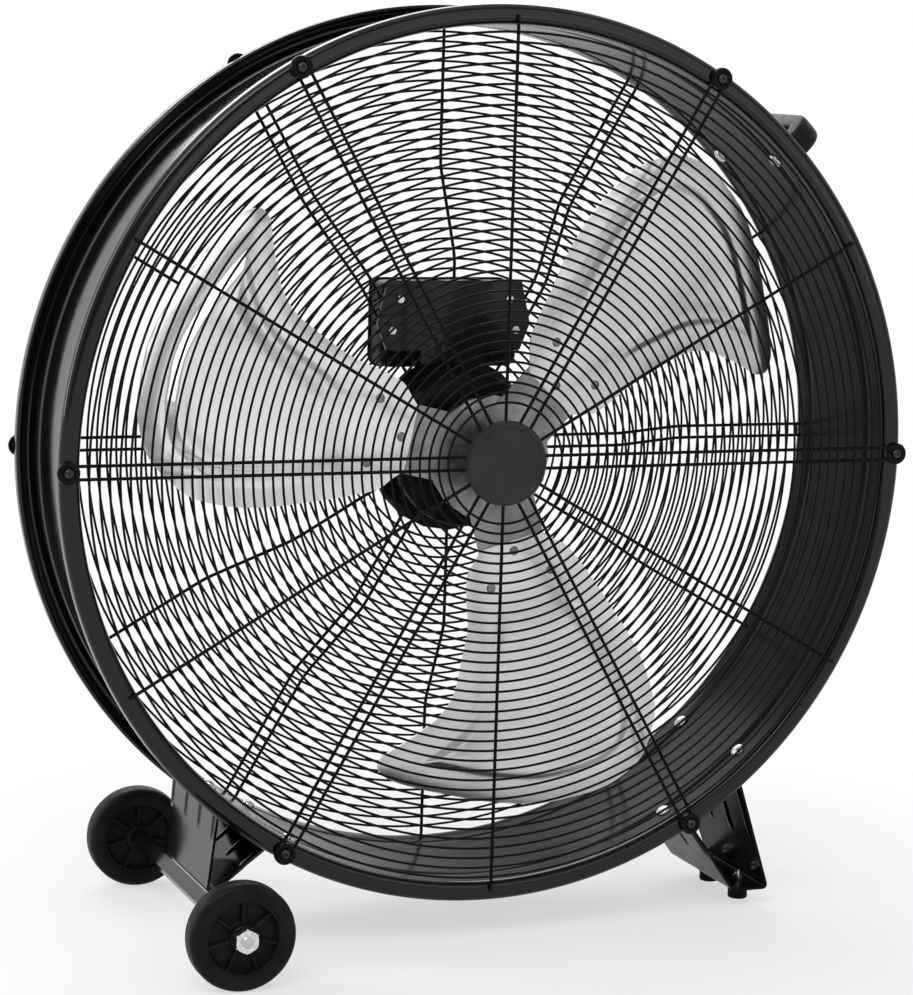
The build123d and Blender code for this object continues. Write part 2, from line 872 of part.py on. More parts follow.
def leg_outline(strip_centre, strip_width, strip_height, side):
    """Folded sheet: flange, outer plate, bottom strip, inner plate and flange."""
    bottom = strip_height - axis_height + leg_wall
    outer_corner = (strip_centre + strip_width / 2, bottom)
    inner_corner = (strip_centre - strip_width / 2, bottom)
    points = [
        flange_point(-leg_upper_bolt_angle, leg_flange_reach),
        flange_point(-leg_upper_bolt_angle, -leg_flange_reach),
        outer_corner,
        inner_corner,
        flange_point(-leg_lower_bolt_angle, leg_flange_reach),
        flange_point(-leg_lower_bolt_angle, -leg_flange_reach),
    ]
    return [(side * x, z) for x, z in points]


def leg_side_cut(top, strip_height, end):
    """Triangle seen from the side that narrows one edge of a leg towards the floor."""
    bottom = strip_height - leg_wall
    taper = leg_top_half_length - leg_bottom_half_length
    with BuildSketch(Plane.YZ) as cut:
        with BuildLine():
            Polyline(
                (end * leg_top_half_length, top),
                (end * (leg_top_half_length + taper), bottom),
                (end * leg_bottom_half_length, bottom),
                close=True,
            )
        make_face()
    return cut.sketch


def plate_channels(first, last, away):
    """Strips for the shallow channels pressed down one plate of a leg."""
    run = Vector(last[0] - first[0], 0, last[1] - first[1])
    start = Vector(first[0], 0, axis_height + first[1]) + away * leg_wall
    long = run.length - leg_channel_start - leg_channel_end
    plate = Plane(origin=start, x_dir=run.normalized(), z_dir=away)
    with BuildSketch(plate) as strips:
        for row in range(-1, 2):
            with Locations((leg_channel_start, row * leg_channel_pitch)):
                Rectangle(long, leg_channel_width, align=(Align.MIN, Align.CENTER))
    return strips.sketch


def plate_normal(first, last, side):
    """Unit vector square to a plate, pointing out of the leg's hollow."""
    across = Vector(last[1] - first[1], 0, first[0] - last[0]).normalized()
    return across * -side


def add_leg(strip_centre, strip_width, strip_height, side):
    """Folded leg that narrows towards the floor, with shallow channels down its plates."""
    points = leg_outline(strip_centre, strip_width, strip_height, side)
    outward_side = Side.LEFT if side > 0 else Side.RIGHT
    with BuildSketch(upright(leg_top_half_length)) as fold:
        with BuildLine():
            Polyline(points)
            offset(amount=leg_wall, kind=Kind.INTERSECTION, side=outward_side)
        make_face()
    extrude(fold.sketch, amount=2 * leg_top_half_length)
    for end in (-1, 1):
        side_cut = leg_side_cut(axis_height + points[0][1], strip_height, end)
        extrude(side_cut, amount=side * drum_outer_radius, mode=Mode.SUBTRACT)
    for first, last in ((points[1], points[2]), (points[3], points[4])):
        strips = plate_channels(first, last, plate_normal(first, last, side))
        extrude(strips, amount=-leg_channel_depth, mode=Mode.SUBTRACT)


def cut_leg_bolt_holes(angles):
    """Holes for the bolts that hold a leg to the drum."""
    for hole_angle, hole_place in leg_bolt_places:
        if hole_angle in angles:
            with BuildSketch(skin_plane(hole_angle, hole_place)) as hole:
                RegularPolygon(bolt_hole_radius, hexagon_sides)
            extrude(hole.sketch, amount=leg_hole_reach, both=True, mode=Mode.SUBTRACT)


with BuildPart() as right_leg:
    add_leg(foot_strip_centre, foot_strip_width, foot_strip_height, 1)
    cut_leg_bolt_holes(bolt_angles[:2])
finish(right_leg.part, "right_leg")

with BuildPart() as left_leg:
    add_leg(wheel_axle_offset, axle_strip_width, axle_strip_height, -1)
    cut_leg_bolt_holes(bolt_angles[2:])
finish(left_leg.part, "left_leg")


def drum_bolt(angle, distance, grip):
    """Bolt with its head against the inside of the drum and its shank pointing outwards."""
    seat = skin_plane(angle, distance, -bolt_seat_drop)
    prism(seat, bolt_head_radius, -bolt_head_height, hexagon_sides)
    prism(seat, bolt_radius, bolt_seat_drop + grip, shank_sides)


with BuildPart() as leg_bolts:
    for bolt_angle, bolt_place in leg_bolt_places:
        drum_bolt(bolt_angle, bolt_place, leg_wall + nut_height + bolt_end)
finish(leg_bolts.part, "leg_bolts")

with BuildPart() as leg_nuts:
    for bolt_angle, bolt_place in leg_bolt_places:
        prism(skin_plane(bolt_angle, bolt_place, leg_wall), nut_radius, nut_height, hexagon_sides)
finish(leg_nuts.part, "leg_nuts")

# ---------------------------------------------------------------- feet

foot_places = [(foot_centre, side * foot_spacing / 2) for side in (-1, 1)]

with BuildPart() as foot_pads:
    for x, y in foot_places:
        pad_top = Plane(origin=(x, y, foot_strip_height), z_dir=(0, 0, 1))
        prism(pad_top, foot_radius, -foot_strip_height, foot_sides)
finish(foot_pads.part, "foot_pads")

with BuildPart() as foot_studs:
    for x, y in foot_places:
        stud_bottom = Plane(origin=(x, y, foot_strip_height - foot_stud_depth), z_dir=(0, 0, 1))
        strip_top = Plane(origin=(x, y, foot_strip_height + leg_wall), z_dir=(0, 0, 1))
        stud_length = foot_stud_depth + leg_wall + foot_stud_rise
        prism(stud_bottom, foot_stud_radius, stud_length, hexagon_sides)
        prism(strip_top, foot_nut_radius, foot_nut_height, hexagon_sides)
finish(foot_studs.part, "foot_studs")

# ---------------------------------------------------------------- axle, sleeve and wheels


def axle_plane(distance):
    """Plane square to the axle, facing the back."""
    return Plane(origin=(-wheel_axle_offset, distance, axle_height), x_dir=(1, 0, 0), z_dir=(0, 1, 0))


axle_half_length = axle_nut_face + axle_nut_height + axle_end

with BuildPart() as wheel_axle:
    with BuildSketch(axle_plane(0)):
        Circle(axle_radius)
    extrude(amount=axle_half_length, both=True)
finish(wheel_axle.part, "wheel_axle")

with BuildPart() as axle_sleeve:
    with BuildSketch(axle_plane(0)):
        RegularPolygon(sleeve_radius, sleeve_sides)
        Circle(axle_radius, mode=Mode.SUBTRACT)
    extrude(amount=sleeve_end, both=True)
finish(axle_sleeve.part, "axle_sleeve")

with BuildPart() as axle_nuts:
    for end in (-1, 1):
        nut_face = axle_plane(end * axle_nut_face)
        prism(nut_face, axle_nut_radius, end * axle_nut_height, hexagon_sides)
finish(axle_nuts.part, "axle_nuts")

for wheel_name, wheel_side in (("wheel_front", -1), ("wheel_rear", 1)):
    inner = axle_plane(wheel_side * wheel_inner_face)
    middle = axle_plane(wheel_side * wheel_middle)
    rib_depth = wheel_width / 2 - wheel_rib_setback
    with BuildPart() as wheel:
        with BuildSketch(inner):
            RegularPolygon(wheel_radius, wheel_sides)
            RegularPolygon(tyre_inner_radius, wheel_sides, mode=Mode.SUBTRACT)
        extrude(amount=wheel_side * wheel_width)
        with BuildSketch(middle):
            RegularPolygon(tyre_inner_radius, wheel_sides)
        extrude(amount=wheel_web / 2, both=True)
        with BuildSketch(inner):
            RegularPolygon(wheel_boss_radius, wheel_boss_sides)
        extrude(amount=wheel_side * wheel_width)
        with BuildSketch(middle):
            with PolarLocations(0, wheel_rib_count):
                Rectangle(tyre_inner_radius, wheel_rib, align=(Align.MIN, Align.CENTER))
        extrude(amount=rib_depth, both=True)
        with BuildSketch(inner):
            Circle(axle_radius + axle_clearance)
        extrude(amount=wheel_side * wheel_width, mode=Mode.SUBTRACT)
    finish(wheel.part, wheel_name)

# ---------------------------------------------------------------- carrying handle

handle_outward = Vector(cos(radians(handle_angle)), 0, sin(radians(handle_angle)))
handle_side = Plane(
    origin=Vector(0, 0, axis_height) + handle_outward * drum_skin_radius,
    x_dir=(0, 1, 0),
    z_dir=(sin(radians(handle_angle)), 0, -cos(radians(handle_angle))),
)
handle_opening = handle_length - 2 * handle_leg_thickness

with BuildPart() as handle:
    with BuildSketch(handle_side) as arch:
        Rectangle(handle_length, handle_height, align=(Align.CENTER, Align.MIN))
        fillet(arch.vertices().group_by(Axis.Y)[-1], handle_outer_round)
        with BuildSketch(mode=Mode.SUBTRACT) as grip_opening:
            Rectangle(
                handle_opening,
                handle_height - handle_grip_thickness,
                align=(Align.CENTER, Align.MIN),
            )
            fillet(grip_opening.vertices().group_by(Axis.Y)[-1], handle_inner_round)
    extrude(amount=handle_width / 2, both=True)
finish(handle.part, "handle")

with BuildPart() as handle_bolts:
    for bolt_angle, bolt_place in handle_bolt_places:
        drum_bolt(bolt_angle, bolt_place, handle_bolt_grip)
finish(handle_bolts.part, "handle_bolts")
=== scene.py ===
import json
from math import cos, pi, radians, sin

import bpy
import numpy as np
from mathutils import Matrix, Vector


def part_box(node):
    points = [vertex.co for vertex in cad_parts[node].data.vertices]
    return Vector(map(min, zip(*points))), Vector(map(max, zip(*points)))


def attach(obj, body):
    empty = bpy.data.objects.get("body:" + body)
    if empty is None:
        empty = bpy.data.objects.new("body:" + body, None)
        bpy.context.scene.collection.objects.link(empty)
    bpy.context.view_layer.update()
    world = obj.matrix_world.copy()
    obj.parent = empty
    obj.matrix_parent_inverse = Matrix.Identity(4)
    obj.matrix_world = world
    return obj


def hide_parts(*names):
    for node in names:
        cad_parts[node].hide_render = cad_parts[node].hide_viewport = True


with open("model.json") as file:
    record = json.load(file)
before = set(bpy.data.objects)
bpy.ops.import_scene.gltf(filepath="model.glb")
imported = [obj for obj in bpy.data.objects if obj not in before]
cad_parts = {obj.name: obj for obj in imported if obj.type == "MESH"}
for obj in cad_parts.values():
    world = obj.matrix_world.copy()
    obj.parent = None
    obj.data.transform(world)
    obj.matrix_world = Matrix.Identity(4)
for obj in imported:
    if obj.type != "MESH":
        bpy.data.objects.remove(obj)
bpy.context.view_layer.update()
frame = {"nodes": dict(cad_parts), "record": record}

bl_info = {
    "name": "Drum Fan",
    "version": (1, 0, 0),
    "blender": (4, 5, 0),
    "location": "View3D > Sidebar > Drum Fan",
    "description": "Wire grilles, pressed blades, wheels and finishes for a packed drum fan",
    "category": "Add Mesh",
}

# ---------------------------------------------------------------- places read from the frame

FRONT, REAR = -1.0, 1.0
SIDES = ((FRONT, "front"), (REAR, "rear"))


def low(node):
    """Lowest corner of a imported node."""
    return np.array(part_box(node)[0], float)


def high(node):
    """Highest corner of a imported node."""
    return np.array(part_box(node)[1], float)


def middle(node):
    """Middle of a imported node's box."""
    return (low(node) + high(node)) / 2


def half_size(node):
    """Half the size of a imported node's box."""
    return (high(node) - low(node)) / 2


AXIS_HEIGHT = middle("drum_shell")[2]
RIM_RADIUS = half_size("drum_shell")[2]
DRUM_FRONT, DRUM_BACK = low("drum_shell")[1], high("drum_shell")[1]
SPOKE_WIRE = DRUM_FRONT - low("front_grille_spokes")[1]
CLIP_FACE = {FRONT: DRUM_FRONT - SPOKE_WIRE, REAR: DRUM_BACK + SPOKE_WIRE}
SCREW_HEAD = 0.0042
CLIP_CIRCLE = half_size("front_clip_screws")[0] - SCREW_HEAD
CLIP_RADIUS = half_size("front_clips")[0] - CLIP_CIRCLE
AXLE_X, AXLE_HEIGHT = middle("wheel_front")[0], middle("wheel_front")[2]


# ---------------------------------------------------------------- sizes and colours a user may change


def length(name, description, default):
    """Setting that holds a length in metres."""
    return bpy.props.FloatProperty(name=name, description=description, default=default, unit="LENGTH")


def tint(name, description, default):
    """Setting that holds a base colour."""
    return bpy.props.FloatVectorProperty(
        name=name, description=description, default=default, subtype="COLOR"
    )


class DrumFanSizes(bpy.types.PropertyGroup):
    """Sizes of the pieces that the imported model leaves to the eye."""

    bore_radius: length("Drum bore radius", "Radius of the drum's inner wall", 0.406)
    drum_wall: length("Drum wall", "Thickness of the drum's sheet", 0.0016)
    rim_depth: length("Rim depth", "How far the rolled rim reaches along the drum", 0.015)
    ring_wire: length("Ring wire", "Radius of the grilles' ring wire", 0.0012)
    spoke_wire: length("Spoke wire", "Radius of the grilles' spoke wire", 0.0016)
    ring_pitch: length("Ring pitch", "Distance from one ring to the next", 0.0095)
    outer_ring: length("Outer ring radius", "Radius of the largest ring", 0.3995)
    blade_wall: length("Blade sheet", "Thickness of the blades' sheet", 0.0016)
    panel_rise: length("Panel rise", "Height of the panel pressed into each blade", 0.004)


class DrumFanColours(bpy.types.PropertyGroup):
    """Base colours of the finishes."""

    enamel: tint("Gloss enamel", "Drum and legs", (0.0045, 0.0045, 0.0050))
    wire: tint("Wire coat", "Grilles and clips", (0.0040, 0.0040, 0.0045))
    blade: tint("Blade sheet", "Rolled aluminium", (0.80, 0.81, 0.82))
    zinc: tint("Zinc plate", "Bolts and nuts", (0.72, 0.72, 0.70))
    plastic: tint("Black plastic", "Handle, switch box and wheels", (0.0065, 0.0065, 0.0070))
    rubber: tint("Rubber", "Feet", (0.009, 0.009, 0.010))


def sizes():
    """The sizes kept on the scene."""
    return bpy.context.scene.drum_fan_sizes


def colours():
    """The colours kept on the scene."""
    return bpy.context.scene.drum_fan_colours


# ---------------------------------------------------------------- sums and paths


def unit(vectors):
    """The same directions, one long."""
    return vectors / np.linalg.norm(vectors, axis=-1, keepdims=True)


def smooth(value, start, width):
    """From 0 at the start to 1 past the width: 3u^2 - 2u^3 of the share u of the way."""
    share = np.clip((value - start) / width, 0, 1)
    return share**2 * (3 - 2 * share)


def circle(count):
    """Angles of equal steps once round."""
    return np.arange(count) * 2 * pi / count


def points(x, y, z):
    """Points from their X, Y and Z."""
    return np.stack(np.broadcast_arrays(x, y, z), axis=-1)


def around(angle, reach, y, across=0.0):
    """Points at a reach from the rotor's axis along an angle, and across it.

    Angles run anticlockwise from +X, seen from the front: x = reach cos a - across sin a, and the
    height over the axis is reach sin a + across cos a.
    """
    x = reach * np.cos(angle) - across * np.sin(angle)
    return points(x, y, AXIS_HEIGHT + reach * np.sin(angle) + across * np.cos(angle))


def equal_steps(line, count):
    """A line in equal steps of its length, and how far each step is from its start."""
    run = np.concatenate([[0], np.cumsum(np.linalg.norm(np.diff(line, axis=0), axis=1))])
    steps = np.linspace(0, run[-1], count)
    return np.stack([np.interp(steps, run, line[:, k]) for k in range(2)], axis=1), steps


def rounded(corners, radius, steps, closed=True):
    """Path through corners with each one rounded: a quarter-like arc drawn as a quadratic curve.

    Between the two points at the radius from a corner P, the curve is (1-t)^2 A + 2t(1-t) P + t^2 B.
    """
    corners = np.array(corners, float)
    count = len(corners)
    inner = range(count) if closed else range(1, count - 1)
    out = [] if closed else [corners[:1]]
    t = np.linspace(0, 1, steps)[:, None]
    for k in inner:
        here = corners[k]
        before, after = corners[(k - 1) % count] - here, corners[(k + 1) % count] - here
        cut = min(radius, np.linalg.norm(before) / 2.05, np.linalg.norm(after) / 2.05)
        start, end = here + unit(before) * cut, here + unit(after) * cut
        out.append((1 - t) ** 2 * start + 2 * t * (1 - t) * here + t**2 * end)
    if not closed:
        out.append(corners[-1:])
    return np.concatenate(out)


def left_of(line):
    """Direction to the left of a flat line, at each of its points."""
    along = unit(np.gradient(line, axis=0))
    return np.stack([-along[:, 1], along[:, 0]], axis=1)


def sheet_section(centre, wall):
    """Closed outline of a bent sheet: its centre line moved half the wall to each side."""
    side = left_of(centre) * wall / 2
    return np.concatenate([centre + side, (centre - side)[::-1]])


# ---------------------------------------------------------------- surfaces


def grid_quads(rows, columns, round_rows, round_columns):
    """Quads between the points of a grid numbered row by row; a round way joins its last to its first."""
    i = np.arange(rows if round_rows else rows - 1)[:, None]
    j = np.arange(columns if round_columns else columns - 1)[None, :]
    below, beside = (i + 1) % rows, (j + 1) % columns
    four = (i * columns + j, i * columns + beside, below * columns + beside, below * columns + j)
    return np.stack(np.broadcast_arrays(*four), axis=-1).reshape(-1, 4)


def outward(spots, quads, caps):
    """The same faces turned outwards: six times the volume under all of them has to be positive."""
    a, b, c, d = (spots[quads[:, k]] for k in range(4))
    volume = np.einsum("ij,ij->", a, np.cross(b, c)) + np.einsum("ij,ij->", a, np.cross(c, d))
    for cap in caps:
        first, loop = spots[cap[0]], spots[cap[1:]]
        volume += np.einsum("j,ij->", first, np.cross(loop[:-1], loop[1:]))
    if volume < 0:
        return quads[:, ::-1], [cap[::-1] for cap in caps]
    return quads, caps


def shell(grid, round_rows=False):
    """Closed surface from a grid of points; rows that aren't joined round end in flat caps."""
    rows, columns = grid.shape[:2]
    spots = grid.reshape(-1, 3)
    first = np.arange(columns)
    caps = [] if round_rows else [first[::-1], first + (rows - 1) * columns]
    return (spots, *outward(spots, grid_quads(rows, columns, round_rows, True), caps))


def plate(front, back):
    """Closed sheet between two grids of the same size: both faces, and a strip round their edges."""
    rows, columns = front.shape[:2]
    spots = np.concatenate([front.reshape(-1, 3), back.reshape(-1, 3)])
    face = grid_quads(rows, columns, False, False)
    number = np.arange(rows * columns).reshape(rows, columns)
    edge = np.concatenate([number[0, :-1], number[:-1, -1], number[-1, :0:-1], number[:0:-1, 0]])
    after = np.roll(edge, -1)
    other = rows * columns
    strip = np.stack([edge, edge + other, after + other, after], axis=-1)
    quads = np.concatenate([face, face[:, ::-1] + other, strip])
    return (spots, *outward(spots, quads, []))


def tube(path, radius, normal, sides, closed=False):
    """Round wire: in the plane square to the path each point carries a circle of the radius.

    The circle's two axes are the path's direction crossed with the given normal, and that crossed
    with the direction again.
    """
    ahead = np.roll(path, -1, axis=0) - np.roll(path, 1, axis=0) if closed else np.gradient(path, axis=0)
    along = unit(ahead)
    across = unit(np.cross(along, normal))
    rise = np.cross(across, along)
    turn = circle(sides)[None, :, None]
    section = np.cos(turn) * across[:, None, :] + np.sin(turn) * rise[:, None, :]
    return shell(path[:, None, :] + radius * section, round_rows=closed)


def lathe(profile, place, direction, steps, shape=None, closed=False):
    """Turned piece: the profile's (distance from the axis, height) pairs are carried once round.

    Point = place + height * direction + distance * (cos turn * side + sin turn * up). A profile
    that starts and ends on a small radius is closed by flat caps, and a closed one is a ring.
    shape changes the distance by a function of the turn, as for a hexagon.
    """
    profile = np.array(profile, float)
    direction = unit(np.array(direction, float))
    helper = np.array([0.0, 0.0, 1.0]) if abs(direction[2]) < 0.9 else np.array([1.0, 0.0, 0.0])
    side = unit(np.cross(helper, direction))
    up = np.cross(direction, side)
    turn = circle(steps)
    spread = profile[:, 0][:, None]
    if shape is not None:
        spread = shape(spread, turn[None, :])
    ring = np.cos(turn)[None, :, None] * side + np.sin(turn)[None, :, None] * up
    grid = np.array(place) + profile[:, 1][:, None, None] * direction + spread[..., None] * ring
    return shell(grid, round_rows=closed)


def hexagon(flat_radius):
    """Shape for a lathe: the distance is held to a hexagon whose flats lie at flat_radius."""

    def held(spread, turn):
        """The smaller of the profile's distance and flat_radius over the cosine from the flat."""
        from_flat = (turn + pi / 6) % (pi / 3) - pi / 6
        return np.minimum(spread, flat_radius / np.cos(from_flat))

    return held


def dome(radius, height, steps, foot=0.0):
    """Quarter circle of (distance, height) pairs from the rim to the step before the top."""
    return [(radius * cos(t), foot + (height - foot) * sin(t)) for t in np.linspace(0, pi / 2, steps)[:-1]]


def pan_head(radius, height):
    """Profile of a domed screw head, with a round recess in the place of its drive."""
    recess = [(radius * 0.38, height), (radius * 0.30, height * 0.45), (radius * 0.02, height * 0.35)]
    return [(radius * 0.02, 0), (radius, 0), *dome(radius, height, 7, height * 0.25), *recess]


def nut_profile(radius, height, bore):
    """Section of a hexagon nut: chamfered corners at both faces, closed down to its thread's radius."""
    cut = radius * 0.10
    return [
        (bore, 0.0), (radius - cut, 0.0), (radius, cut * 0.6), (radius, height - cut * 0.6),
        (radius - cut, height), (bore, height),
    ]


def piece(name, shells, look, slot, *replaced, body="housing", crease=35.0):
    """Object from closed shells, riding on a body; edges sharper than the crease angle stay crisp."""
    spots, faces, count = [], [], 0
    for some_spots, quads, caps in shells:
        spots.append(some_spots)
        faces += (quads + count).tolist() + [(cap + count).tolist() for cap in caps]
        count += len(some_spots)
    mesh = bpy.data.meshes.new(name)
    mesh.from_pydata(np.concatenate(spots).tolist(), [], faces)
    mesh.validate()
    mesh.shade_smooth()
    mesh.set_sharp_from_angle(angle=radians(crease))
    thing = bpy.data.objects.new(name, mesh)
    bpy.context.scene.collection.objects.link(thing)
    mesh.materials.append(finish(look))
    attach(thing, body)
    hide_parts(*replaced)


# ---------------------------------------------------------------- finishes


def plug(tree, node, inputs):
    """Gives each input its value, or a link where the value is another node's socket."""
    for name, value in inputs.items():
        if isinstance(value, bpy.types.NodeSocket):
            tree.links.new(value, node.inputs[name])
        else:
            node.inputs[name].default_value = value


def new_node(tree, kind, inputs=None, **settings):
    """New shader node with its settings and inputs."""
    node = tree.nodes.new("ShaderNode" + kind)
    for name, value in settings.items():
        setattr(node, name, value)
    plug(tree, node, inputs or {})
    return node


def spread_out(tree, factor, start, end, low_value, high_value, **settings):
    """A factor between start and end, spread between two values."""
    inputs = {"From Min": start, "From Max": end, "To Min": low_value, "To Max": high_value, "Value": factor}
    return new_node(tree, "MapRange", inputs, **settings).outputs["Result"]


def combined(tree, operation, first, second):
    """Two numbers put together by an operation."""
    return new_node(tree, "Math", {0: first, 1: second}, operation=operation).outputs[0]


# A row holds the material's name; its base colour, or the user's colour of that name; roughness;
# metallic; strength of the reflection, or None for the usual one; and three patterns.
# Clouds: (pattern, light, dark) shares of the base colour. Wear: (pattern, spread) of the roughness
# to each side. Relief: (pattern, strength, height in metres). A pattern is (lumps to the metre,
# detail, stretch) of soft noise, or (cells to the metre,) of a crystalline one.
FINISHES = {
    # Baked gloss enamel on steel: near black, with a faint orange peel.
    "gloss_enamel": (
        "gloss_black_enamel", "enamel", 0.10, 0.0, 0.3,
        ((9.0, 3.0), 1.4, 0.8), ((26.0, 5.0), 0.03), ((90.0, 2.0), 0.02, 0.0003),
    ),
    # Enamel inside the drum: a half-matt coat, less reflective than the outside, that renders the inside
    # darker; its colour streaks round the drum are painted reflections of the rings, its roughness lines are
    # the sheet's rolling lines.
    "inner_enamel_painted_reflections": (
        "half_matt_black_enamel", (0.011, 0.011, 0.0115), 0.17, 0.0, 0.035,
        # painted reflection: these colour streaks round the drum stand in for the grille rings mirrored in
        # the wall
        ((1.0, 4.0, (2.0, 260.0, 2.0)), 1.5, 0.55), ((1.0, 4.0, (2.0, 260.0, 2.0)), 0.05),
        ((90.0, 2.0), 0.02, 0.0003),
    ),
    # Half-gloss enamel of the right leg: painted shade, a duller copy of the drum's enamel that makes this
    # leg render darker.
    "leg_enamel": (
        "half_gloss_black_enamel", "enamel", 0.24, 0.0, 0.06,
        ((20.0, 4.0), 1.6, 0.8), ((45.0, 5.0), 0.05), ((220.0, 3.0), 0.05, 0.0003),
    ),
    # Half-gloss dip coat on wire, a little uneven along it.
    "wire_coat": (
        "wire_black_coat", "wire", 0.36, 0.0, 0.08,
        ((30.0, 3.0), 1.6, 0.7), ((60.0, 3.0), 0.08), ((900.0, 2.0), 0.12, 0.0002),
    ),
    # Rolled aluminium: faint grain along the sheet, cloudy tarnish and a soft shine.
    "blade_sheet": (
        "rolled_aluminium", "blade", 0.305, 1.0, None,
        ((14.0, 6.0), 1.06, 0.88), ((1.0, 4.0, (20.0, 20.0, 320.0)), 0.02), ((16.0, 1.0), 0.08, 0.0012),
    ),
    # Dull pressed steel of the hub spider, with rolling marks and small stains.
    "spider_steel": (
        "dull_pressed_steel", (0.36, 0.36, 0.37), 0.46, 1.0, None,
        ((40.0, 6.0), 1.15, 0.7), ((120.0, 4.0), 0.1), ((600.0, 3.0), 0.10, 0.0002),
    ),
    # Rivet heads: darker steel than the blades.
    "rivet_metal": (
        "rivet_steel", (0.30, 0.30, 0.31), 0.38, 1.0, None,
        ((300.0, 3.0), 1.2, 0.7), None, ((900.0,), 0.08, 0.0001),
    ),
    # Turned steel of the axle and the shaft, with fine rings round it.
    "ground_steel": (
        "turned_steel", (0.55, 0.55, 0.56), 0.28, 1.0, None,
        ((50.0, 4.0), 1.1, 0.8), ((1.0, 3.0, (30.0, 2500.0, 30.0)), 0.08),
        ((1.0, 3.0, (30.0, 2500.0, 30.0)), 0.1, 0.0001),
    ),
    # Bright zinc plate with small clouded crystals.
    "zinc_plate": (
        "bright_zinc_plate", "zinc", 0.28, 1.0, None,
        ((500.0,), 1.1, 0.8), ((220.0, 4.0), 0.09), ((900.0,), 0.08, 0.0001),
    ),
    # Moulded black plastic with the fine grain of a spark-cut tool.
    "grained_plastic": (
        "grained_black_plastic", "plastic", 0.42, 0.0, 0.1,
        ((50.0, 3.0), 1.7, 0.8), ((90.0, 4.0), 0.06), ((1500.0,), 0.18, 0.0002),
    ),
    # Smooth dark grey plastic of the centre cap and the knob.
    "cap_plastic": (
        "smooth_grey_plastic", (0.022, 0.022, 0.023), 0.40, 0.0, 0.2,
        ((40.0, 4.0), 1.25, 0.85), ((70.0, 3.0), 0.06), ((700.0, 2.0), 0.08, 0.0002),
    ),
    # Hard black tyre polymer: half matt and lightly scuffed.
    "tyre_plastic": (
        "hard_tyre_polymer", "plastic", 0.46, 0.0, 0.1,
        ((60.0, 5.0), 1.9, 0.8), ((160.0, 5.0), 0.1), ((1100.0, 4.0), 0.2, 0.0002),
    ),
    # Matt moulded rubber with dusty patches.
    "foot_rubber": (
        "moulded_rubber", "rubber", 0.72, 0.0, 0.1,
        ((120.0, 5.0), 2.0, 0.8), None, ((1500.0, 3.0), 0.25, 0.0002),
    ),
    # Satin enamel on the motor's castings, with their sandy skin under it.
    "motor_enamel": (
        "motor_enamel", (0.006, 0.006, 0.007), 0.42, 0.0, 0.1,
        ((35.0, 5.0), 1.6, 0.7), ((80.0, 4.0), 0.08), ((800.0, 5.0), 0.25, 0.0003),
    ),
    # Blackened steel of the small screws.
    "oxide_screw": (
        "black_oxide_steel", (0.014, 0.014, 0.015), 0.34, 0.3, None,
        ((500.0, 3.0), 1.8, 0.7), None, ((1400.0, 2.0), 0.1, 0.0001),
    ),
    # Smooth pale plastic of the run capacitor inside the box.
    "capacitor_can": (
        "pale_can_plastic", (0.72, 0.72, 0.70), 0.3, 0.0, None,
        ((40.0, 3.0), 1.02, 0.92), None, ((600.0, 2.0), 0.05, 0.0002),
    ),
    # Pale studio floor with faint cloudiness.
    "floor": ("pale_floor", (0.92, 0.92, 0.92), 0.6, 0.0, 0.1, ((0.8, 3.0), 1.02, 0.99), None, None),
}
NOISE_RANGE = (0.3, 0.7)


class Finish:
    """A node material from a row of FINISHES; its patterns read Object coordinates."""

    def __init__(self, name, colour, roughness, metallic, shine, clouds, wear, relief):
        self.material = bpy.data.materials.new(name)
        self.material.use_nodes = True
        self.tree = self.material.node_tree
        self.shader = self.tree.nodes["Principled BSDF"]
        self.coordinates = new_node(self.tree, "TexCoord").outputs["Object"]
        if isinstance(colour, str):
            colour = getattr(colours(), colour)
        inputs = {"Metallic": metallic, "Base Color": (*colour, 1), "Roughness": roughness}
        if shine is not None:
            inputs["Specular IOR Level"] = shine
        plug(self.tree, self.shader, inputs)
        plug(self.tree, self.shader, {"Base Color": self.cloudy(colour, *clouds)})
        if wear:
            pattern, spread = wear
            rough = spread_out(
                self.tree, self.pattern(*pattern), *NOISE_RANGE, roughness - spread, roughness + spread
            )
            plug(self.tree, self.shader, {"Roughness": rough})
        if relief:
            pattern, strength, distance = relief
            inputs = {"Strength": strength, "Distance": distance, "Height": self.pattern(*pattern)}
            plug(self.tree, self.shader, {"Normal": new_node(self.tree, "Bump", inputs).outputs["Normal"]})

    def pattern(self, scale, detail=None, stretch=None):
        """Soft noise of so many lumps to the metre, or cells; stretch makes it run along one way."""
        vector = self.coordinates
        if stretch:
            mapped = new_node(self.tree, "Mapping", {"Scale": stretch, "Vector": vector})
            vector = mapped.outputs["Vector"]
        if detail is None:
            return new_node(self.tree, "TexVoronoi", {"Scale": scale, "Vector": vector}).outputs["Distance"]
        inputs = {"Scale": scale, "Detail": detail, "Vector": vector}
        return new_node(self.tree, "TexNoise", inputs).outputs["Fac"]

    def cloudy(self, colour, pattern, light, dark):
        """The base colour times a number that wanders between dark and light."""
        inputs = {
            "A": (*[c * dark for c in colour], 1),
            "B": (*[c * light for c in colour], 1),
            "Factor": spread_out(self.tree, self.pattern(*pattern), *NOISE_RANGE, 0.0, 1.0),
        }
        return new_node(self.tree, "Mix", inputs, data_type="RGBA").outputs["Result"]


made = {}


def finish(look):
    """Each finish is made once and shared."""
    if look not in made:
        made[look] = Finish(*FINISHES[look]).material
    return made[look]


# ---------------------------------------------------------------- drum


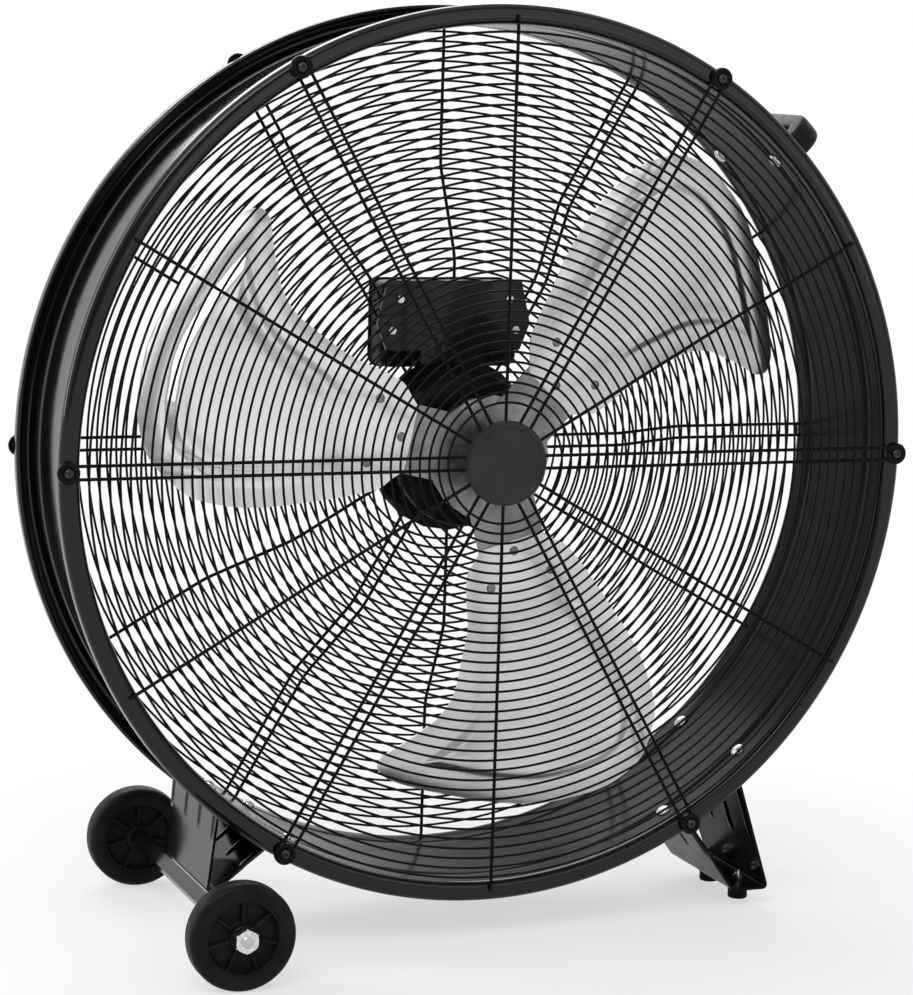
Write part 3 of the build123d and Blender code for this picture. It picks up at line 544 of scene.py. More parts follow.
class DRUMFAN_OT_drum(bpy.types.Operator):
    """Rolled drum with curled rims and two swaged beads"""

    bl_idname = "drumfan.drum"
    bl_label = "Drum shell"

    bead_offset = 0.034
    bead_width = 0.0045
    bead_height = 0.0016
    curl_radius = 0.0065
    curl_in = 0.0022
    coat = 0.0003
    wall_steps = 132
    steps = 256

    def wall_rows(self):
        """Wall between the curls as (distance from the axis, Y).

        Over the sheet's own radius stand beads of height * exp(-2 (offset / width)^2).
        """
        half = sizes().drum_wall / 2
        inset = half + self.curl_radius * 1.2
        y = np.linspace(DRUM_FRONT + inset, DRUM_BACK - inset, self.wall_steps)
        bead = sum(
            self.bead_height * np.exp(-(((y - place) / self.bead_width) ** 2) * 2)
            for place in (DRUM_FRONT + self.bead_offset, DRUM_BACK - self.bead_offset)
        )
        return np.stack([sizes().bore_radius + half + bead, y], axis=1)

    def centre_line(self):
        """Section of the sheet as (distance from the axis, Y): lip, flange, wall, flange, lip."""
        size = sizes()
        half = size.drum_wall / 2
        wall, outer = size.bore_radius + half, RIM_RADIUS - half
        rim = [(outer - self.curl_in, size.rim_depth), (outer, size.rim_depth - half), (outer, 0), (wall, 0)]
        corners = [(distance, DRUM_FRONT + half + depth) for distance, depth in rim]
        corners += [(distance, DRUM_BACK - half - depth) for distance, depth in rim[::-1]]
        path = rounded(corners, self.curl_radius, 8, closed=False)
        split = len(path) // 2
        return np.concatenate([path[:split], self.wall_rows(), path[split:]])

    def execute(self, context):
        wall = sizes().drum_wall
        lining = self.wall_rows() - (wall / 2, 0.0)
        for name, section, look in (
            ("drum_wall", sheet_section(self.centre_line(), wall), "gloss_enamel"),
            ("drum_inner_coat", sheet_section(lining, self.coat), "inner_enamel_painted_reflections"),
        ):
            drum = lathe(section, (0, 0, AXIS_HEIGHT), (0, 1, 0), self.steps, closed=True)
            piece(name, [drum], look, "gloss_black_steel", "drum_shell")
        return {"FINISHED"}


# ---------------------------------------------------------------- wire grilles

HAIRPIN_ANGLES = [radians(60 * k) for k in range(6)]
SINGLE_ANGLES = [radians(60 * k + 30) for k in range(6)]
HAIRPIN_GAP = 0.012
INNER_SPOKE = {FRONT: 0.030, REAR: 0.044}
INNER_RING = {FRONT: 0.054, REAR: 0.092}
DISH_RADIUS = 0.183
SHOULDER_RADIUS = 0.270
SOFT_BEND = 0.009


def spoke_y(radius, side):
    """Y of a spoke's middle: level in front; behind, level, a slope and level again with soft bends.

    A soft bend is the mean of the bent line over its length to each side.
    """
    rim = (DRUM_FRONT if side == FRONT else DRUM_BACK) + side * SPOKE_WIRE / 2
    if side == FRONT:
        return np.full(np.shape(radius), rim)
    dish = high("motor_mount_plate")[1] + SPOKE_WIRE / 2
    spread = np.asarray(radius)[..., None] + np.linspace(-SOFT_BEND, SOFT_BEND, 11)
    return np.interp(spread, [DISH_RADIUS, SHOULDER_RADIUS], [dish, rim]).mean(axis=-1)


class DRUMFAN_OT_grilles(bpy.types.Operator):
    """Rings and spokes of both grilles, from round wire"""

    bl_idname = "drumfan.grilles"
    bl_label = "Wire grilles"

    ring_steps, ring_sides = 168, 8
    spoke_steps, spoke_sides = 60, 10
    loop_steps = 13
    weld = 0.0003
    past_bore = 0.009
    ring_nodes = {
        "front": ("front_grille_rings",),
        "rear": ("rear_grille_rings", "rear_slope_rings", "rear_dish_rings"),
    }

    def rings(self, side):
        """Closed wires; ring k has the outer radius less k times the pitch."""
        size = sizes()
        count = int((size.outer_ring - INNER_RING[side]) / size.ring_pitch) + 1
        lift = SPOKE_WIRE / 2 + size.ring_wire - self.weld
        wires = []
        for k in range(count):
            radius = size.outer_ring - k * size.ring_pitch
            ring = around(circle(self.ring_steps), radius, spoke_y(radius, side) + side * lift)
            wires.append(tube(ring, size.ring_wire, (0, 1, 0), self.ring_sides, closed=True))
        return wires

    def spoke(self, angle, side, reach, across, normal):
        """Wire through points at a reach and across an angle, at the grille's own depth."""
        path = around(angle, reach, spoke_y(reach, side), across)
        return tube(path, sizes().spoke_wire, normal, self.spoke_sides)

    def hairpin(self, angle, side):
        """One wire out along the gap's edge, half a circle round the screw, and back along the other."""
        half = HAIRPIN_GAP / 2
        out = np.linspace(INNER_SPOKE[side], CLIP_CIRCLE, self.spoke_steps)
        turn = np.linspace(-pi / 2, pi / 2, self.loop_steps)
        edge = np.full(self.spoke_steps - 1, half)
        reach = np.concatenate([out[:-1], CLIP_CIRCLE + half * np.cos(turn), out[-2::-1]])
        across = np.concatenate([-edge, half * np.sin(turn), edge])
        return self.spoke(angle, side, reach, across, (0, 1, 0.001))

    def spokes(self, side):
        """Six hairpins and the six single wires between them."""
        wires = [self.hairpin(angle, side) for angle in HAIRPIN_ANGLES]
        reach = np.linspace(INNER_SPOKE[side], sizes().bore_radius + self.past_bore, self.spoke_steps)
        for angle in SINGLE_ANGLES:
            wires.append(self.spoke(angle, side, reach, 0.0, (-sin(angle), 0.0, cos(angle))))
        return wires

    def execute(self, context):
        for side, name in SIDES:
            wires = (
                ("_ring_wires", self.rings(side), self.ring_nodes[name]),
                ("_spoke_wires", self.spokes(side), (name + "_grille_spokes",)),
            )
            for ending, shells, nodes in wires:
                piece(name + ending, shells, "wire_coat", "wire_black", *nodes, crease=60)
        return {"FINISHED"}


# ---------------------------------------------------------------- clips


class DRUMFAN_OT_clips(bpy.types.Operator):
    """Cupped clips that hold the grilles, and their screws"""

    bl_idname = "drumfan.clips"
    bl_label = "Clips and screws"

    seat = 0.0012
    head_radius = 0.0046
    head_height = 0.0034

    def execute(self, context):
        radius = CLIP_RADIUS
        cup = [
            (0.0003, -0.0022), (radius * 0.98, -0.0022), (radius, -0.0016), (radius, 0.0012),
            (radius * 0.96, 0.0023), (radius * 0.86, 0.0029), (radius * 0.72, 0.0030),
            (radius * 0.58, 0.0024), (radius * 0.50, 0.0015), (0.0003, 0.0013),
        ]
        head = pan_head(self.head_radius, self.head_height)
        for side, name in SIDES:
            way = np.array([0.0, side, 0.0])
            places = [around(angle, CLIP_CIRCLE, CLIP_FACE[side]) for angle in HAIRPIN_ANGLES]
            cups = [lathe(cup, place, way, 36) for place in places]
            screws = [lathe(head, place + way * self.seat, way, 24) for place in places]
            piece(name + "_cup_washers", cups, "wire_coat", "wire_black", name + "_clips")
            piece(name + "_rim_screws", screws, "oxide_screw", "black_screw", name + "_clip_screws")
        return {"FINISHED"}


# ---------------------------------------------------------------- centre cap


class DRUMFAN_OT_cap(bpy.types.Operator):
    """Moulded cap in the middle of the front grille"""

    bl_idname = "drumfan.cap"
    bl_label = "Centre cap"

    face_gap = 0.0002

    def execute(self, context):
        radius = half_size("centre_cap")[0]
        back = high("centre_cap")[1]
        rim = back - low("centre_cap")[1] - self.face_gap
        profile = [
            (0.0004, 0), (radius - 0.0006, 0), (radius, 0.0006), (radius - 0.0004, rim - 0.0022),
            (radius - 0.0012, rim - 0.0007), (radius - 0.0026, rim), (radius - 0.0046, rim),
            (radius - 0.0054, rim - 0.0005), (radius - 0.0060, rim - 0.0013),
            (radius - 0.0075, rim - 0.0015), (radius * 0.5, rim - 0.0009), (radius * 0.25, rim - 0.0007),
            (0.0004, rim - 0.0006),
        ]
        cap = lathe(profile, (0, back, AXIS_HEIGHT), (0, -1, 0), 96)
        piece("front_centre_cap", [cap], "cap_plastic", "cap_plastic", "centre_cap")
        return {"FINISHED"}


# ---------------------------------------------------------------- blades

BLADE_ANGLES = [radians(a) for a in (46.5, 166.5, 286.5)]
BLADE_PLANE = 0.061
BLADE_SLOPE = 0.29
BLADE_TIP = 0.353


def blade_height(reach, across):
    """Forward distance of a blade's face: the slope across it grows with the reach."""
    return BLADE_PLANE + BLADE_SLOPE * across * reach / BLADE_TIP


def along_curve(corners, count):
    """Points at equal steps along a smooth curve through the corners.

    The curve is a chain of cubic pieces whose slope at a corner is half the way from the corner
    before it to the corner after it.
    """
    corners = np.array(corners, float)
    padded = np.concatenate([2 * corners[:1] - corners[1:2], corners, 2 * corners[-1:] - corners[-2:-1]])
    t = np.linspace(0, 1, 24, endpoint=False)[:, None]
    curve = []
    for a, b, c, d in zip(padded[:-3], padded[1:-2], padded[2:-1], padded[3:]):
        square, cube = a - 2.5 * b + 2 * c - d / 2, 1.5 * (b - c) + (d - a) / 2
        curve.append(b + t * (c - a) / 2 + t**2 * square + t**3 * cube)
    return equal_steps(np.concatenate(curve + [corners[-1:]]), count)[0]


class DRUMFAN_OT_blades(bpy.types.Operator):
    """Three twisted blades with a pressed panel, and their rivets"""

    bl_idname = "drumfan.blades"
    bl_label = "Blades and rivets"

    rows, columns, outline_steps = 190, 150, 160
    border_width = 0.020
    border_fall = 0.0042
    panel_inset = 0.024
    step_width = 0.011
    dish_width = 0.018
    dish_fall = 0.0020
    crown_rise = 0.0010
    crown_width = 0.03
    panel_start = 0.140
    start_width = 0.045
    lead_corners = [
        (0.084, 0.031), (0.094, 0.040), (0.105, 0.052), (0.122, 0.060), (0.154, 0.072), (0.194, 0.086),
        (0.236, 0.096), (0.281, 0.097), (0.306, 0.088), (0.332, 0.070), (0.347, 0.042), (0.352, 0.018),
    ]
    trail_corners = [
        (0.084, -0.031), (0.093, -0.040), (0.104, -0.050), (0.125, -0.056), (0.158, -0.062), (0.197, -0.078),
        (0.217, -0.088), (0.233, -0.104), (0.242, -0.123), (0.250, -0.144), (0.257, -0.167),
    ]
    tip_corners = [
        (0.352, 0.018), (0.350, -0.030), (0.335, -0.077), (0.313, -0.120), (0.295, -0.150),
        (0.281, -0.168), (0.267, -0.174), (0.257, -0.167),
    ]
    rivet_spots = [(0.094, 0.0), (0.1227, 0.0306), (0.1227, -0.0306)]
    rivet_sink = 0.0003
    rivet_radius = 0.0046
    rivet_height = 0.0024
    shank_depth = 0.004

    def patch(self):
        """Plan of the blade as a grid of (reach, across) between its four edges.

        Point(s, t) = (1-s) lead(t) + s trail(t) + (1-t) root(s) + t tip(s), less the same blend of
        the four corners, which is counted twice.
        """
        t = np.linspace(0, 1, self.rows)[:, None, None]
        s = np.linspace(0, 1, self.columns)[None, :, None]
        lead = along_curve(self.lead_corners, self.rows)[:, None, :]
        trail = along_curve(self.trail_corners, self.rows)[:, None, :]
        tip = along_curve(self.tip_corners, self.columns)[None, :, :]
        root = (1 - s) * lead[:1] + s * trail[:1]
        corners = (1 - t) * root + t * ((1 - s) * tip[:, :1] + s * tip[:, -1:])
        return (1 - s) * lead + s * trail + (1 - t) * root + t * tip - corners

    def edge_distance(self, reach, across):
        """Distance of every point of the plan from the blade's outline, the root left out."""
        edges = (self.lead_corners, self.tip_corners, self.trail_corners)
        line = np.concatenate([along_curve(corners, self.outline_steps) for corners in edges])
        return np.min(np.array([np.hypot(reach - a, across - b) for a, b in line]), axis=0)

    def panel(self, reach, across):
        """Relief of the sheet: the border falls off to the outline, and the panel stands over a step.

        With d the distance from the outline: -fall * (1 - d / border)^1.5 on the border, a level
        ridge, then the rise times 3u^2 - 2u^3 over the step and along the reach, less the dish's
        fall times the same curve over the next strip, then a crown that grows with d.
        """
        distance = self.edge_distance(reach, across)
        past = smooth(reach, self.panel_start, self.start_width)
        border = np.clip(1 - distance / self.border_width, 0, 1) * past
        step = smooth(distance, self.panel_inset, self.step_width) * past
        dish = self.dish_fall * smooth(distance, self.panel_inset + self.step_width, self.dish_width)
        crown = 1 - np.exp(-np.clip(distance - self.panel_inset, 0, 1) / self.crown_width)
        panel = (sizes().panel_rise + self.crown_rise * crown - dish) * step
        return panel - self.border_fall * border**1.5

    def execute(self, context):
        plan = self.patch()
        reach, across = plan[..., 0], plan[..., 1]
        forward = blade_height(reach, across) + self.panel(reach, across)
        walls = (0.0, sizes().blade_wall)
        for number, angle in enumerate(BLADE_ANGLES, start=1):
            blade = plate(*[around(angle, reach, wall - forward, across) for wall in walls])
            name = "pressed_blade_" + str(number)
            piece(name, [blade], "blade_sheet", "blade_aluminium", "fan_blades", body="rotor", crease=50)
        self.rivets()
        return {"FINISHED"}

    def rivets(self):
        """Domed rivet heads, square to the blade's face, each with a small flat on top."""
        radius, height = self.rivet_radius, self.rivet_height
        shank = [(0.0002, -self.shank_depth), (radius * 0.5, -self.shank_depth), (radius * 0.5, 0)]
        profile = shank + dome(radius, height, 8) + [(radius * 0.2, height), (0.0002, height)]
        heads = []
        for angle in BLADE_ANGLES:
            for reach, across in self.rivet_spots:
                place = around(angle, reach, self.rivet_sink - blade_height(reach, across), across)
                lean = BLADE_SLOPE * reach / BLADE_TIP
                way = np.array([lean * sin(angle), -1.0, -lean * cos(angle)])
                heads.append(lathe(profile, place, way, 24))
        piece("rivet_heads", heads, "rivet_metal", "spider_steel", "blade_rivets", body="rotor")


# ---------------------------------------------------------------- wheels and axle


class DRUMFAN_OT_wheels(bpy.types.Operator):
    """Moulded wheels with ribs, the axle's ends and its nuts"""

    bl_idname = "drumfan.wheels"
    bl_label = "Wheels and axle"

    tyre_inner = 0.033
    boss_radius = 0.0125
    bore = 0.00605
    web = 0.0025
    rib_count = 7
    rib_width = 0.0024
    rib_foot = 0.0015
    rib_drop = 0.0042
    thread_pitch = 0.00175
    thread_depth = 0.0007
    chamfer = 0.0012
    washer = 0.001
    nut_radius, nut_flat, nut_bore = 0.0119, 0.0103, 0.0062

    def tyre_profile(self, half):
        """Closed section (distance, Y): rounded tread, flat side with a step, web, boss and bore."""
        radius, inner = half_size("wheel_front")[2], self.tyre_inner
        web, boss, bore = self.web, self.boss_radius, self.bore
        side = [
            (radius, half - 0.0060), (radius - 0.0008, half - 0.0030), (radius - 0.0026, half - 0.0010),
            (radius - 0.0050, half - 0.0001), (radius - 0.0080, half), (inner + 0.0045, half),
            (inner + 0.0032, half - 0.0004), (inner + 0.0026, half - 0.0014),
            (inner + 0.0006, half - 0.0016), (inner, half - 0.0026),
            (inner - 0.0010, web + 0.0016), (inner - 0.0024, web),
            (boss + 0.0016, web), (boss + 0.0003, web + 0.0014),
            (boss, half - 0.0010), (boss - 0.0010, half - 0.0002),
            (bore + 0.0010, half - 0.0002), (bore, half - 0.0010),
        ]
        return side + [(distance, -y) for distance, y in side[::-1]]

    def rib(self, centre, angle, side, half):
        """Tapered bar from the boss to the tyre, standing on the web: wider at the boss and the foot."""
        top = half - self.rib_drop
        inner, outer = self.boss_radius - 0.001, self.tyre_inner + 0.0006
        reach = np.array([inner, outer, outer, inner])
        width = self.rib_width / 2 * np.array([-1.35, -1.0, 1.0, 1.35])
        lift = centre - (0.0, 0.0, AXIS_HEIGHT)
        levels = ((self.rib_foot, 1.35), (top - 0.0006, 1.0), (top, 0.7))
        return shell(
            np.array([lift + around(angle, reach, side * level, width * share) for level, share in levels])
        )

    def wheel(self, node):
        """Tyre and web turned round the axle, with ribs on both sides of the web."""
        centre, half = middle(node), half_size(node)[1]
        parts = [lathe(self.tyre_profile(half), centre, (0, 1, 0), 96, closed=True)]
        for side in (FRONT, REAR):
            for turn in circle(self.rib_count):
                parts.append(self.rib(centre, pi / 2 + turn, side, half))
        return parts

    def axle(self):
        """Plain rod, with ridges that stand for the thread at both ends, and chamfered."""
        half, radius = high("wheel_axle")[1], half_size("wheel_axle")[2]
        start, pitch = high("wheel_rear")[1], self.thread_pitch
        side = []
        for k in range(int((half - self.chamfer - start) / pitch)):
            side += [(radius, start + k * pitch), (radius - self.thread_depth, start + (k + 0.5) * pitch)]
        side += [(radius - 0.0004, half - 0.0010), (radius - 0.0014, half), (0.0003, half)]
        profile = [(distance, -y) for distance, y in side[::-1]] + side
        return lathe(profile, (AXLE_X, 0, AXLE_HEIGHT), (0, 1, 0), 40)

    def execute(self, context):
        for node, body in (("wheel_front", "front_wheel"), ("wheel_rear", "rear_wheel")):
            name = node + "_moulding"
            piece(name, self.wheel(node), "tyre_plastic", "wheel_black", node, body=body, crease=30)
        piece("axle_rod", [self.axle()], "ground_steel", "shaft_steel", "wheel_axle")
        face = high("wheel_rear")[1] + self.washer
        nut = nut_profile(self.nut_radius, high("axle_nuts")[1] - face, self.nut_bore)
        nuts = [
            lathe(nut, (AXLE_X, side * face, AXLE_HEIGHT), (0, side, 0), 60, hexagon(self.nut_flat))
            for side in (FRONT, REAR)
        ]
        piece("axle_end_nuts", nuts, "zinc_plate", "zinc_steel", "axle_nuts")
        return {"FINISHED"}


# ---------------------------------------------------------------- legs, feet and fasteners

LEG_WALL = 0.0025
UPPER_BOLT = 47.6
LOWER_BOLT = 61.4
FLANGE_REACH = 0.013
BOLT_ROWS = (-0.065, 0.065)
SKIN_RADIUS = 0.4075


class DRUMFAN_OT_legs(bpy.types.Operator):
    """Folded legs with pressed channels"""

    bl_idname = "drumfan.legs"
    bl_label = "Legs"

    bend_radius = 0.006
    fold_steps, width_steps = 260, 121
    taper = 0.009
    channel_depth = 0.0015
    channel_width = 0.0034
    channel_places = (-0.0665, -0.0222, 0.0222, 0.0665)
    channel_start = 0.10
    channel_fade = 0.08

    def flange(self, bolt_angle):
        """Both ends of a flange (x, height from the axis): it lies on the drum's skin at its bolts."""
        angle = radians(-bolt_angle)
        lift = (SKIN_RADIUS + LEG_WALL / 2) / SKIN_RADIUS
        return [
            (
                (SKIN_RADIUS * cos(angle) - along * sin(angle)) * lift,
                (SKIN_RADIUS * sin(angle) + along * cos(angle)) * lift,
            )
            for along in (FLANGE_REACH, -FLANGE_REACH)
        ]

    def fold(self, strip_centre, strip_width, strip_bottom, side):
        """Corners of the folded sheet's middle line as seen from the front."""
        half = LEG_WALL / 2
        bottom = strip_bottom + half - AXIS_HEIGHT
        outer = (strip_centre + strip_width / 2 + half, bottom)
        inner = (strip_centre - strip_width / 2 - half, bottom)
        corners = [*self.flange(UPPER_BOLT), outer, inner, *self.flange(LOWER_BOLT)]
        return np.array([(side * x, z) for x, z in corners])

    def channels(self, steps, corners, y, channel_ends):
        """Depth of the channels down both plates.

        A channel is depth * exp(-(offset / width)^4) times a fade at each of its ends, which are
        shares of the way down the outer and the inner plate.
        """
        bends = np.cumsum(np.linalg.norm(np.diff(corners, axis=0), axis=1))
        sink = np.zeros_like(y)
        for (top, foot), end in zip(((bends[0], bends[1]), (bends[3], bends[2])), channel_ends):
            down = (steps - top) / (foot - top)
            fade = np.clip((down - self.channel_start) / self.channel_fade, 0, 1)
            fade = fade * np.clip((end - down) / self.channel_fade, 0, 1)
            for place in self.channel_places:
                groove = np.exp(-(((y - place) / self.channel_width) ** 4))
                sink += self.channel_depth * fade[:, None] * groove
        return sink

    def leg(self, node, side, channel_ends, *strip):
        """Sheet over (step along the fold, place along Y), half-length falling with the height."""
        corners = self.fold(*strip, side)
        line, steps = equal_steps(rounded(corners, self.bend_radius, 7, closed=False), self.fold_steps)
        fallen = np.clip((corners[0, 1] - line[:, 1]) / (corners[0, 1] - corners[:, 1].min()), 0, 1)
        half_length = high(node)[1] - self.taper * fallen
        y = half_length[:, None] * np.linspace(-1, 1, self.width_steps)
        sink = self.channels(steps, corners, y, channel_ends)
        out = left_of(line) * side
        faces = []
        for lift in (LEG_WALL / 2, -LEG_WALL / 2):
            x = line[:, :1] + out[:, :1] * (lift - sink)
            faces.append(points(x, y, AXIS_HEIGHT + line[:, 1:] + out[:, 1:] * (lift - sink)))
        return plate(*faces)

    def execute(self, context):
        foot_top, sleeve_top = high("foot_pads")[2], low("left_leg")[2]
        legs = (
            # painted shade: the right leg takes a duller copy of the same enamel, so it renders darker than
            # the left
            ("right_leg", "leg_enamel", 1, (0.62, 0.66), 0.293, 0.036, foot_top),
            ("left_leg", "gloss_enamel", -1, (0.46, 0.62), 0.271, 0.005, sleeve_top),
        )
        for node, look, *rest in legs:
            piece(node + "_sheet", [self.leg(node, *rest)], look, "gloss_black_steel", node, crease=40)
        return {"FINISHED"}


HANDLE_ANGLE = 44.6
HANDLE_BOLTS = (-0.0595, 0.0595)
LEG_ANGLES = (-UPPER_BOLT, -LOWER_BOLT, UPPER_BOLT - 180, LOWER_BOLT - 180)
LEG_BOLTS = [(angle, y) for angle in LEG_ANGLES for y in BOLT_ROWS]


class DRUMFAN_OT_fasteners(bpy.types.Operator):
    """Bolts through the drum and the nuts outside it"""

    bl_idname = "drumfan.fasteners"
    bl_label = "Bolts and nuts"

    head_seat = -0.0017
    leg_reach = 0.0110
    handle_reach = 0.0100
    nut_radius, nut_height, nut_bore, nut_flat = 0.0074, 0.0060, 0.0034, 0.0063

    def skin_place(self, angle, y, height):
        """Point over the drum's skin at an angle in degrees, and the way out from the axis."""
        way = np.array([cos(radians(angle)), 0.0, sin(radians(angle))])
        return np.array([0.0, y, AXIS_HEIGHT]) + way * (SKIN_RADIUS + height), way

    def bolt(self, angle, y, reach):
        """Button head inside the drum with a shank that comes out through the sheet."""
        place, way = self.skin_place(angle, y, self.head_seat)
        profile = [
            (0.0003, 0.0042), (0.0022, 0.0041), (0.0045, 0.0035), (0.0065, 0.0023), (0.0075, 0.0008),
            (0.0075, 0.0), (0.0036, 0.0), (0.0036, -reach), (0.0028, -reach - 0.0008),
            (0.0003, -reach - 0.0008),
        ]
        return lathe(profile, place, -way, 32)

    def nut(self, angle, y):
        """Hexagon nut on the leg's flange."""
        profile = nut_profile(self.nut_radius, self.nut_height, self.nut_bore)
        return lathe(profile, *self.skin_place(angle, y, LEG_WALL), 48, hexagon(self.nut_flat))

    def execute(self, context):
        leg_bolts = [self.bolt(angle, y, self.leg_reach) for angle, y in LEG_BOLTS]
        leg_nuts = [self.nut(angle, y) for angle, y in LEG_BOLTS]
        handle_bolts = [self.bolt(HANDLE_ANGLE, y, self.handle_reach) for y in HANDLE_BOLTS]
        piece("leg_button_bolts", leg_bolts, "zinc_plate", "zinc_steel", "leg_bolts")
        piece("leg_hexagon_nuts", leg_nuts, "zinc_plate", "zinc_steel", "leg_nuts")
        piece("handle_button_bolts", handle_bolts, "zinc_plate", "zinc_steel", "handle_bolts")
        return {"FINISHED"}


class DRUMFAN_OT_feet(bpy.types.Operator):
    """Rubber feet with their studs and nuts"""

    bl_idname = "drumfan.feet"
    bl_label = "Feet"

    thread_pitch = 0.0011
    nut_radius, nut_height, nut_bore, nut_flat = 0.0058, 0.0046, 0.0024, 0.0050

    def execute(self, context):
        top = high("foot_pads")[2]
        x, radius = middle("foot_pads")[0], half_size("foot_pads")[0]
        row = high("foot_pads")[1] - radius
        pad = [
            (0.0003, 0.0), (radius * 0.84, 0.0), (radius * 0.90, 0.0008), (radius * 0.93, 0.0035),
            (radius * 0.90, 0.0042), (radius * 0.90, 0.0052), (radius * 0.97, top - 0.0016),
            (radius, top - 0.0008), (radius, top - 0.0001), (0.0003, top - 0.0001),
        ]
        plate_top = top + LEG_WALL
        stud_top = high("foot_studs")[2] - plate_top
        under = -LEG_WALL - 0.003
        stud = [(0.0003, under), (0.0029, under), (0.0029, 0.0046)]
        for k in range(int((stud_top - 0.006) / self.thread_pitch)):
            ridge = 0.0048 + self.thread_pitch * k
            stud += [(0.0030, ridge), (0.0026, ridge + self.thread_pitch / 2)]
        stud += [(0.0024, stud_top), (0.0003, stud_top)]
        nut = nut_profile(self.nut_radius, self.nut_height, self.nut_bore)
        pads, studs = [], []
        for side in (FRONT, REAR):
            place = (x, side * row, plate_top)
            pads.append(lathe(pad, (x, side * row, 0.0), (0, 0, 1), 48))
            studs.append(lathe(stud, place, (0, 0, 1), 24))
            studs.append(lathe(nut, place, (0, 0, 1), 48, hexagon(self.nut_flat)))
        piece("rubber_feet", pads, "foot_rubber", "black_rubber", "foot_pads")
        piece("foot_stud_nuts", studs, "zinc_plate", "zinc_steel", "foot_studs")
        return {"FINISHED"}


# ---------------------------------------------------------------- handle


class DRUMFAN_OT_handle(bpy.types.Operator):
    """Moulded carrying handle: an arch with a finger gap"""

    bl_idname = "drumfan.handle"
    bl_label = "Handle"

    width = 0.026
    height = 0.051
    grip_thickness = 0.020
    foot_thickness = 0.022
    bend_radius = 0.017
    squareness = 0.42
    foot_flare = 0.10
    flare_height = 0.008
    foot_sink = 0.0004

    def execute(self, context):
        """The section has half-widths |cos|^p and |sin|^p, and follows the arch's middle line."""
        half = high("handle")[1]
        top = self.height - self.grip_thickness / 2
        side = half - self.foot_thickness / 2
        corners = [(-side, -self.foot_sink), (-side, top), (side, top), (side, -self.foot_sink)]
        line = rounded(corners, self.bend_radius, 16, closed=False)
        first_leg = line[:1] + (line[1:2] - line[:1]) * [[0.1], [0.5], [0.9]]
        line = np.concatenate([line[:1], first_leg, line[1:]])
        normal = left_of(line)
        level = np.abs(normal[:, 1])
        thick = (self.foot_thickness * (1 - level) + self.grip_thickness * level) / 2
        flare = 1 + self.foot_flare * np.clip(1 - line[:, 1] / self.flare_height, 0, 1)
        waves = (np.cos(circle(40)), np.sin(circle(40)))
        round_x, round_y = (np.sign(wave) * np.abs(wave) ** self.squareness for wave in waves)
        along = line[:, :1] + normal[:, :1] * thick[:, None] * round_x
        rise = line[:, 1:] + normal[:, 1:] * thick[:, None] * round_x
        wide = self.width / 2 * flare[:, None] * round_y
        grid = around(radians(HANDLE_ANGLE), SKIN_RADIUS + rise, np.clip(along, -half, half), wide)
        piece("carrying_handle", [shell(grid)], "grained_plastic", "black_plastic", "handle", crease=50)
        return {"FINISHED"}


# ---------------------------------------------------------------- motor


class DRUMFAN_OT_motor(bpy.types.Operator):
    """Ribbed motor housing with its two end caps"""

    bl_idname = "drumfan.motor"
    bl_label = "Motor"

    rib_count = 36
    rib_height = 0.0022
    rib_start = 0.06
    barrel_inset = 0.0045
    boss = 0.024
    screw_circle = 0.043
    screw_radius, screw_height, screw_sink = 0.0042, 0.003, 0.0022

    def ribbed(self, spread, turn):
        """Distance plus a smooth rib height: a raised cosine to the fourth power."""
        wave = (0.5 + 0.5 * np.cos(turn * self.rib_count)) ** 4
        return spread + self.rib_height * wave * (spread > self.rib_start)

    def execute(self, context):
        front, back = low("motor_body")[1], high("motor_body")[1]
        radius = (high("motor_front_cap")[0] - low("motor_front_cap")[0]) / 2
        inner, length = radius - self.barrel_inset, back - front
        barrel = [
            (0.0005, 0), (inner, 0), (inner, 0.001), (inner, length / 2), (inner, length - 0.001),
            (inner, length), (0.0005, length),
        ]
        depth = front - low("motor_front_cap")[1]
        face = depth - 0.005
        front_cap = [
            (0.0088, 0), (radius, 0), (radius, face * 0.45), (radius - 0.002, face * 0.75),
            (radius - 0.007, face - 0.001), (radius - 0.012, face), (0.052, face), (0.050, face - 0.002),
            (0.034, face - 0.002), (0.032, face), (self.boss, face), (self.boss - 0.0004, depth - 0.001),
            (self.boss - 0.0016, depth), (0.0115, depth), (0.0105, depth - 0.001), (0.0088, depth - 0.001),
        ]
        depth = high("motor_rear_cap")[1] - back
        rear_cap = [
            (0.0005, 0), (radius, 0), (radius, depth * 0.5), (radius - 0.002, depth * 0.8),
            (radius - 0.008, depth), (0.0005, depth),
        ]
        head = pan_head(self.screw_radius, self.screw_height)
        seat = front - face + self.screw_sink
        screws = [
            lathe(head, around(angle, self.screw_circle, seat), (0, -1, 0), 20)
            for angle in pi / 4 + circle(4)
        ]
        front_place, back_place = (0, front, AXIS_HEIGHT), (0, back, AXIS_HEIGHT)
        castings = (
            ("barrel", [lathe(barrel, front_place, (0, 1, 0), 360, self.ribbed)], "motor_body", 45),
            (
                "front_casting", [lathe(front_cap, front_place, (0, -1, 0), 120, closed=True), *screws],
                "motor_front_cap", 40,
            ),
            ("rear_casting", [lathe(rear_cap, back_place, (0, 1, 0), 120)], "motor_rear_cap", 40),
        )
        for name, shells, node, crease in castings:
            piece("motor_" + name, shells, "motor_enamel", "motor_black", node, crease=crease)
        return {"FINISHED"}


# ---------------------------------------------------------------- switch box


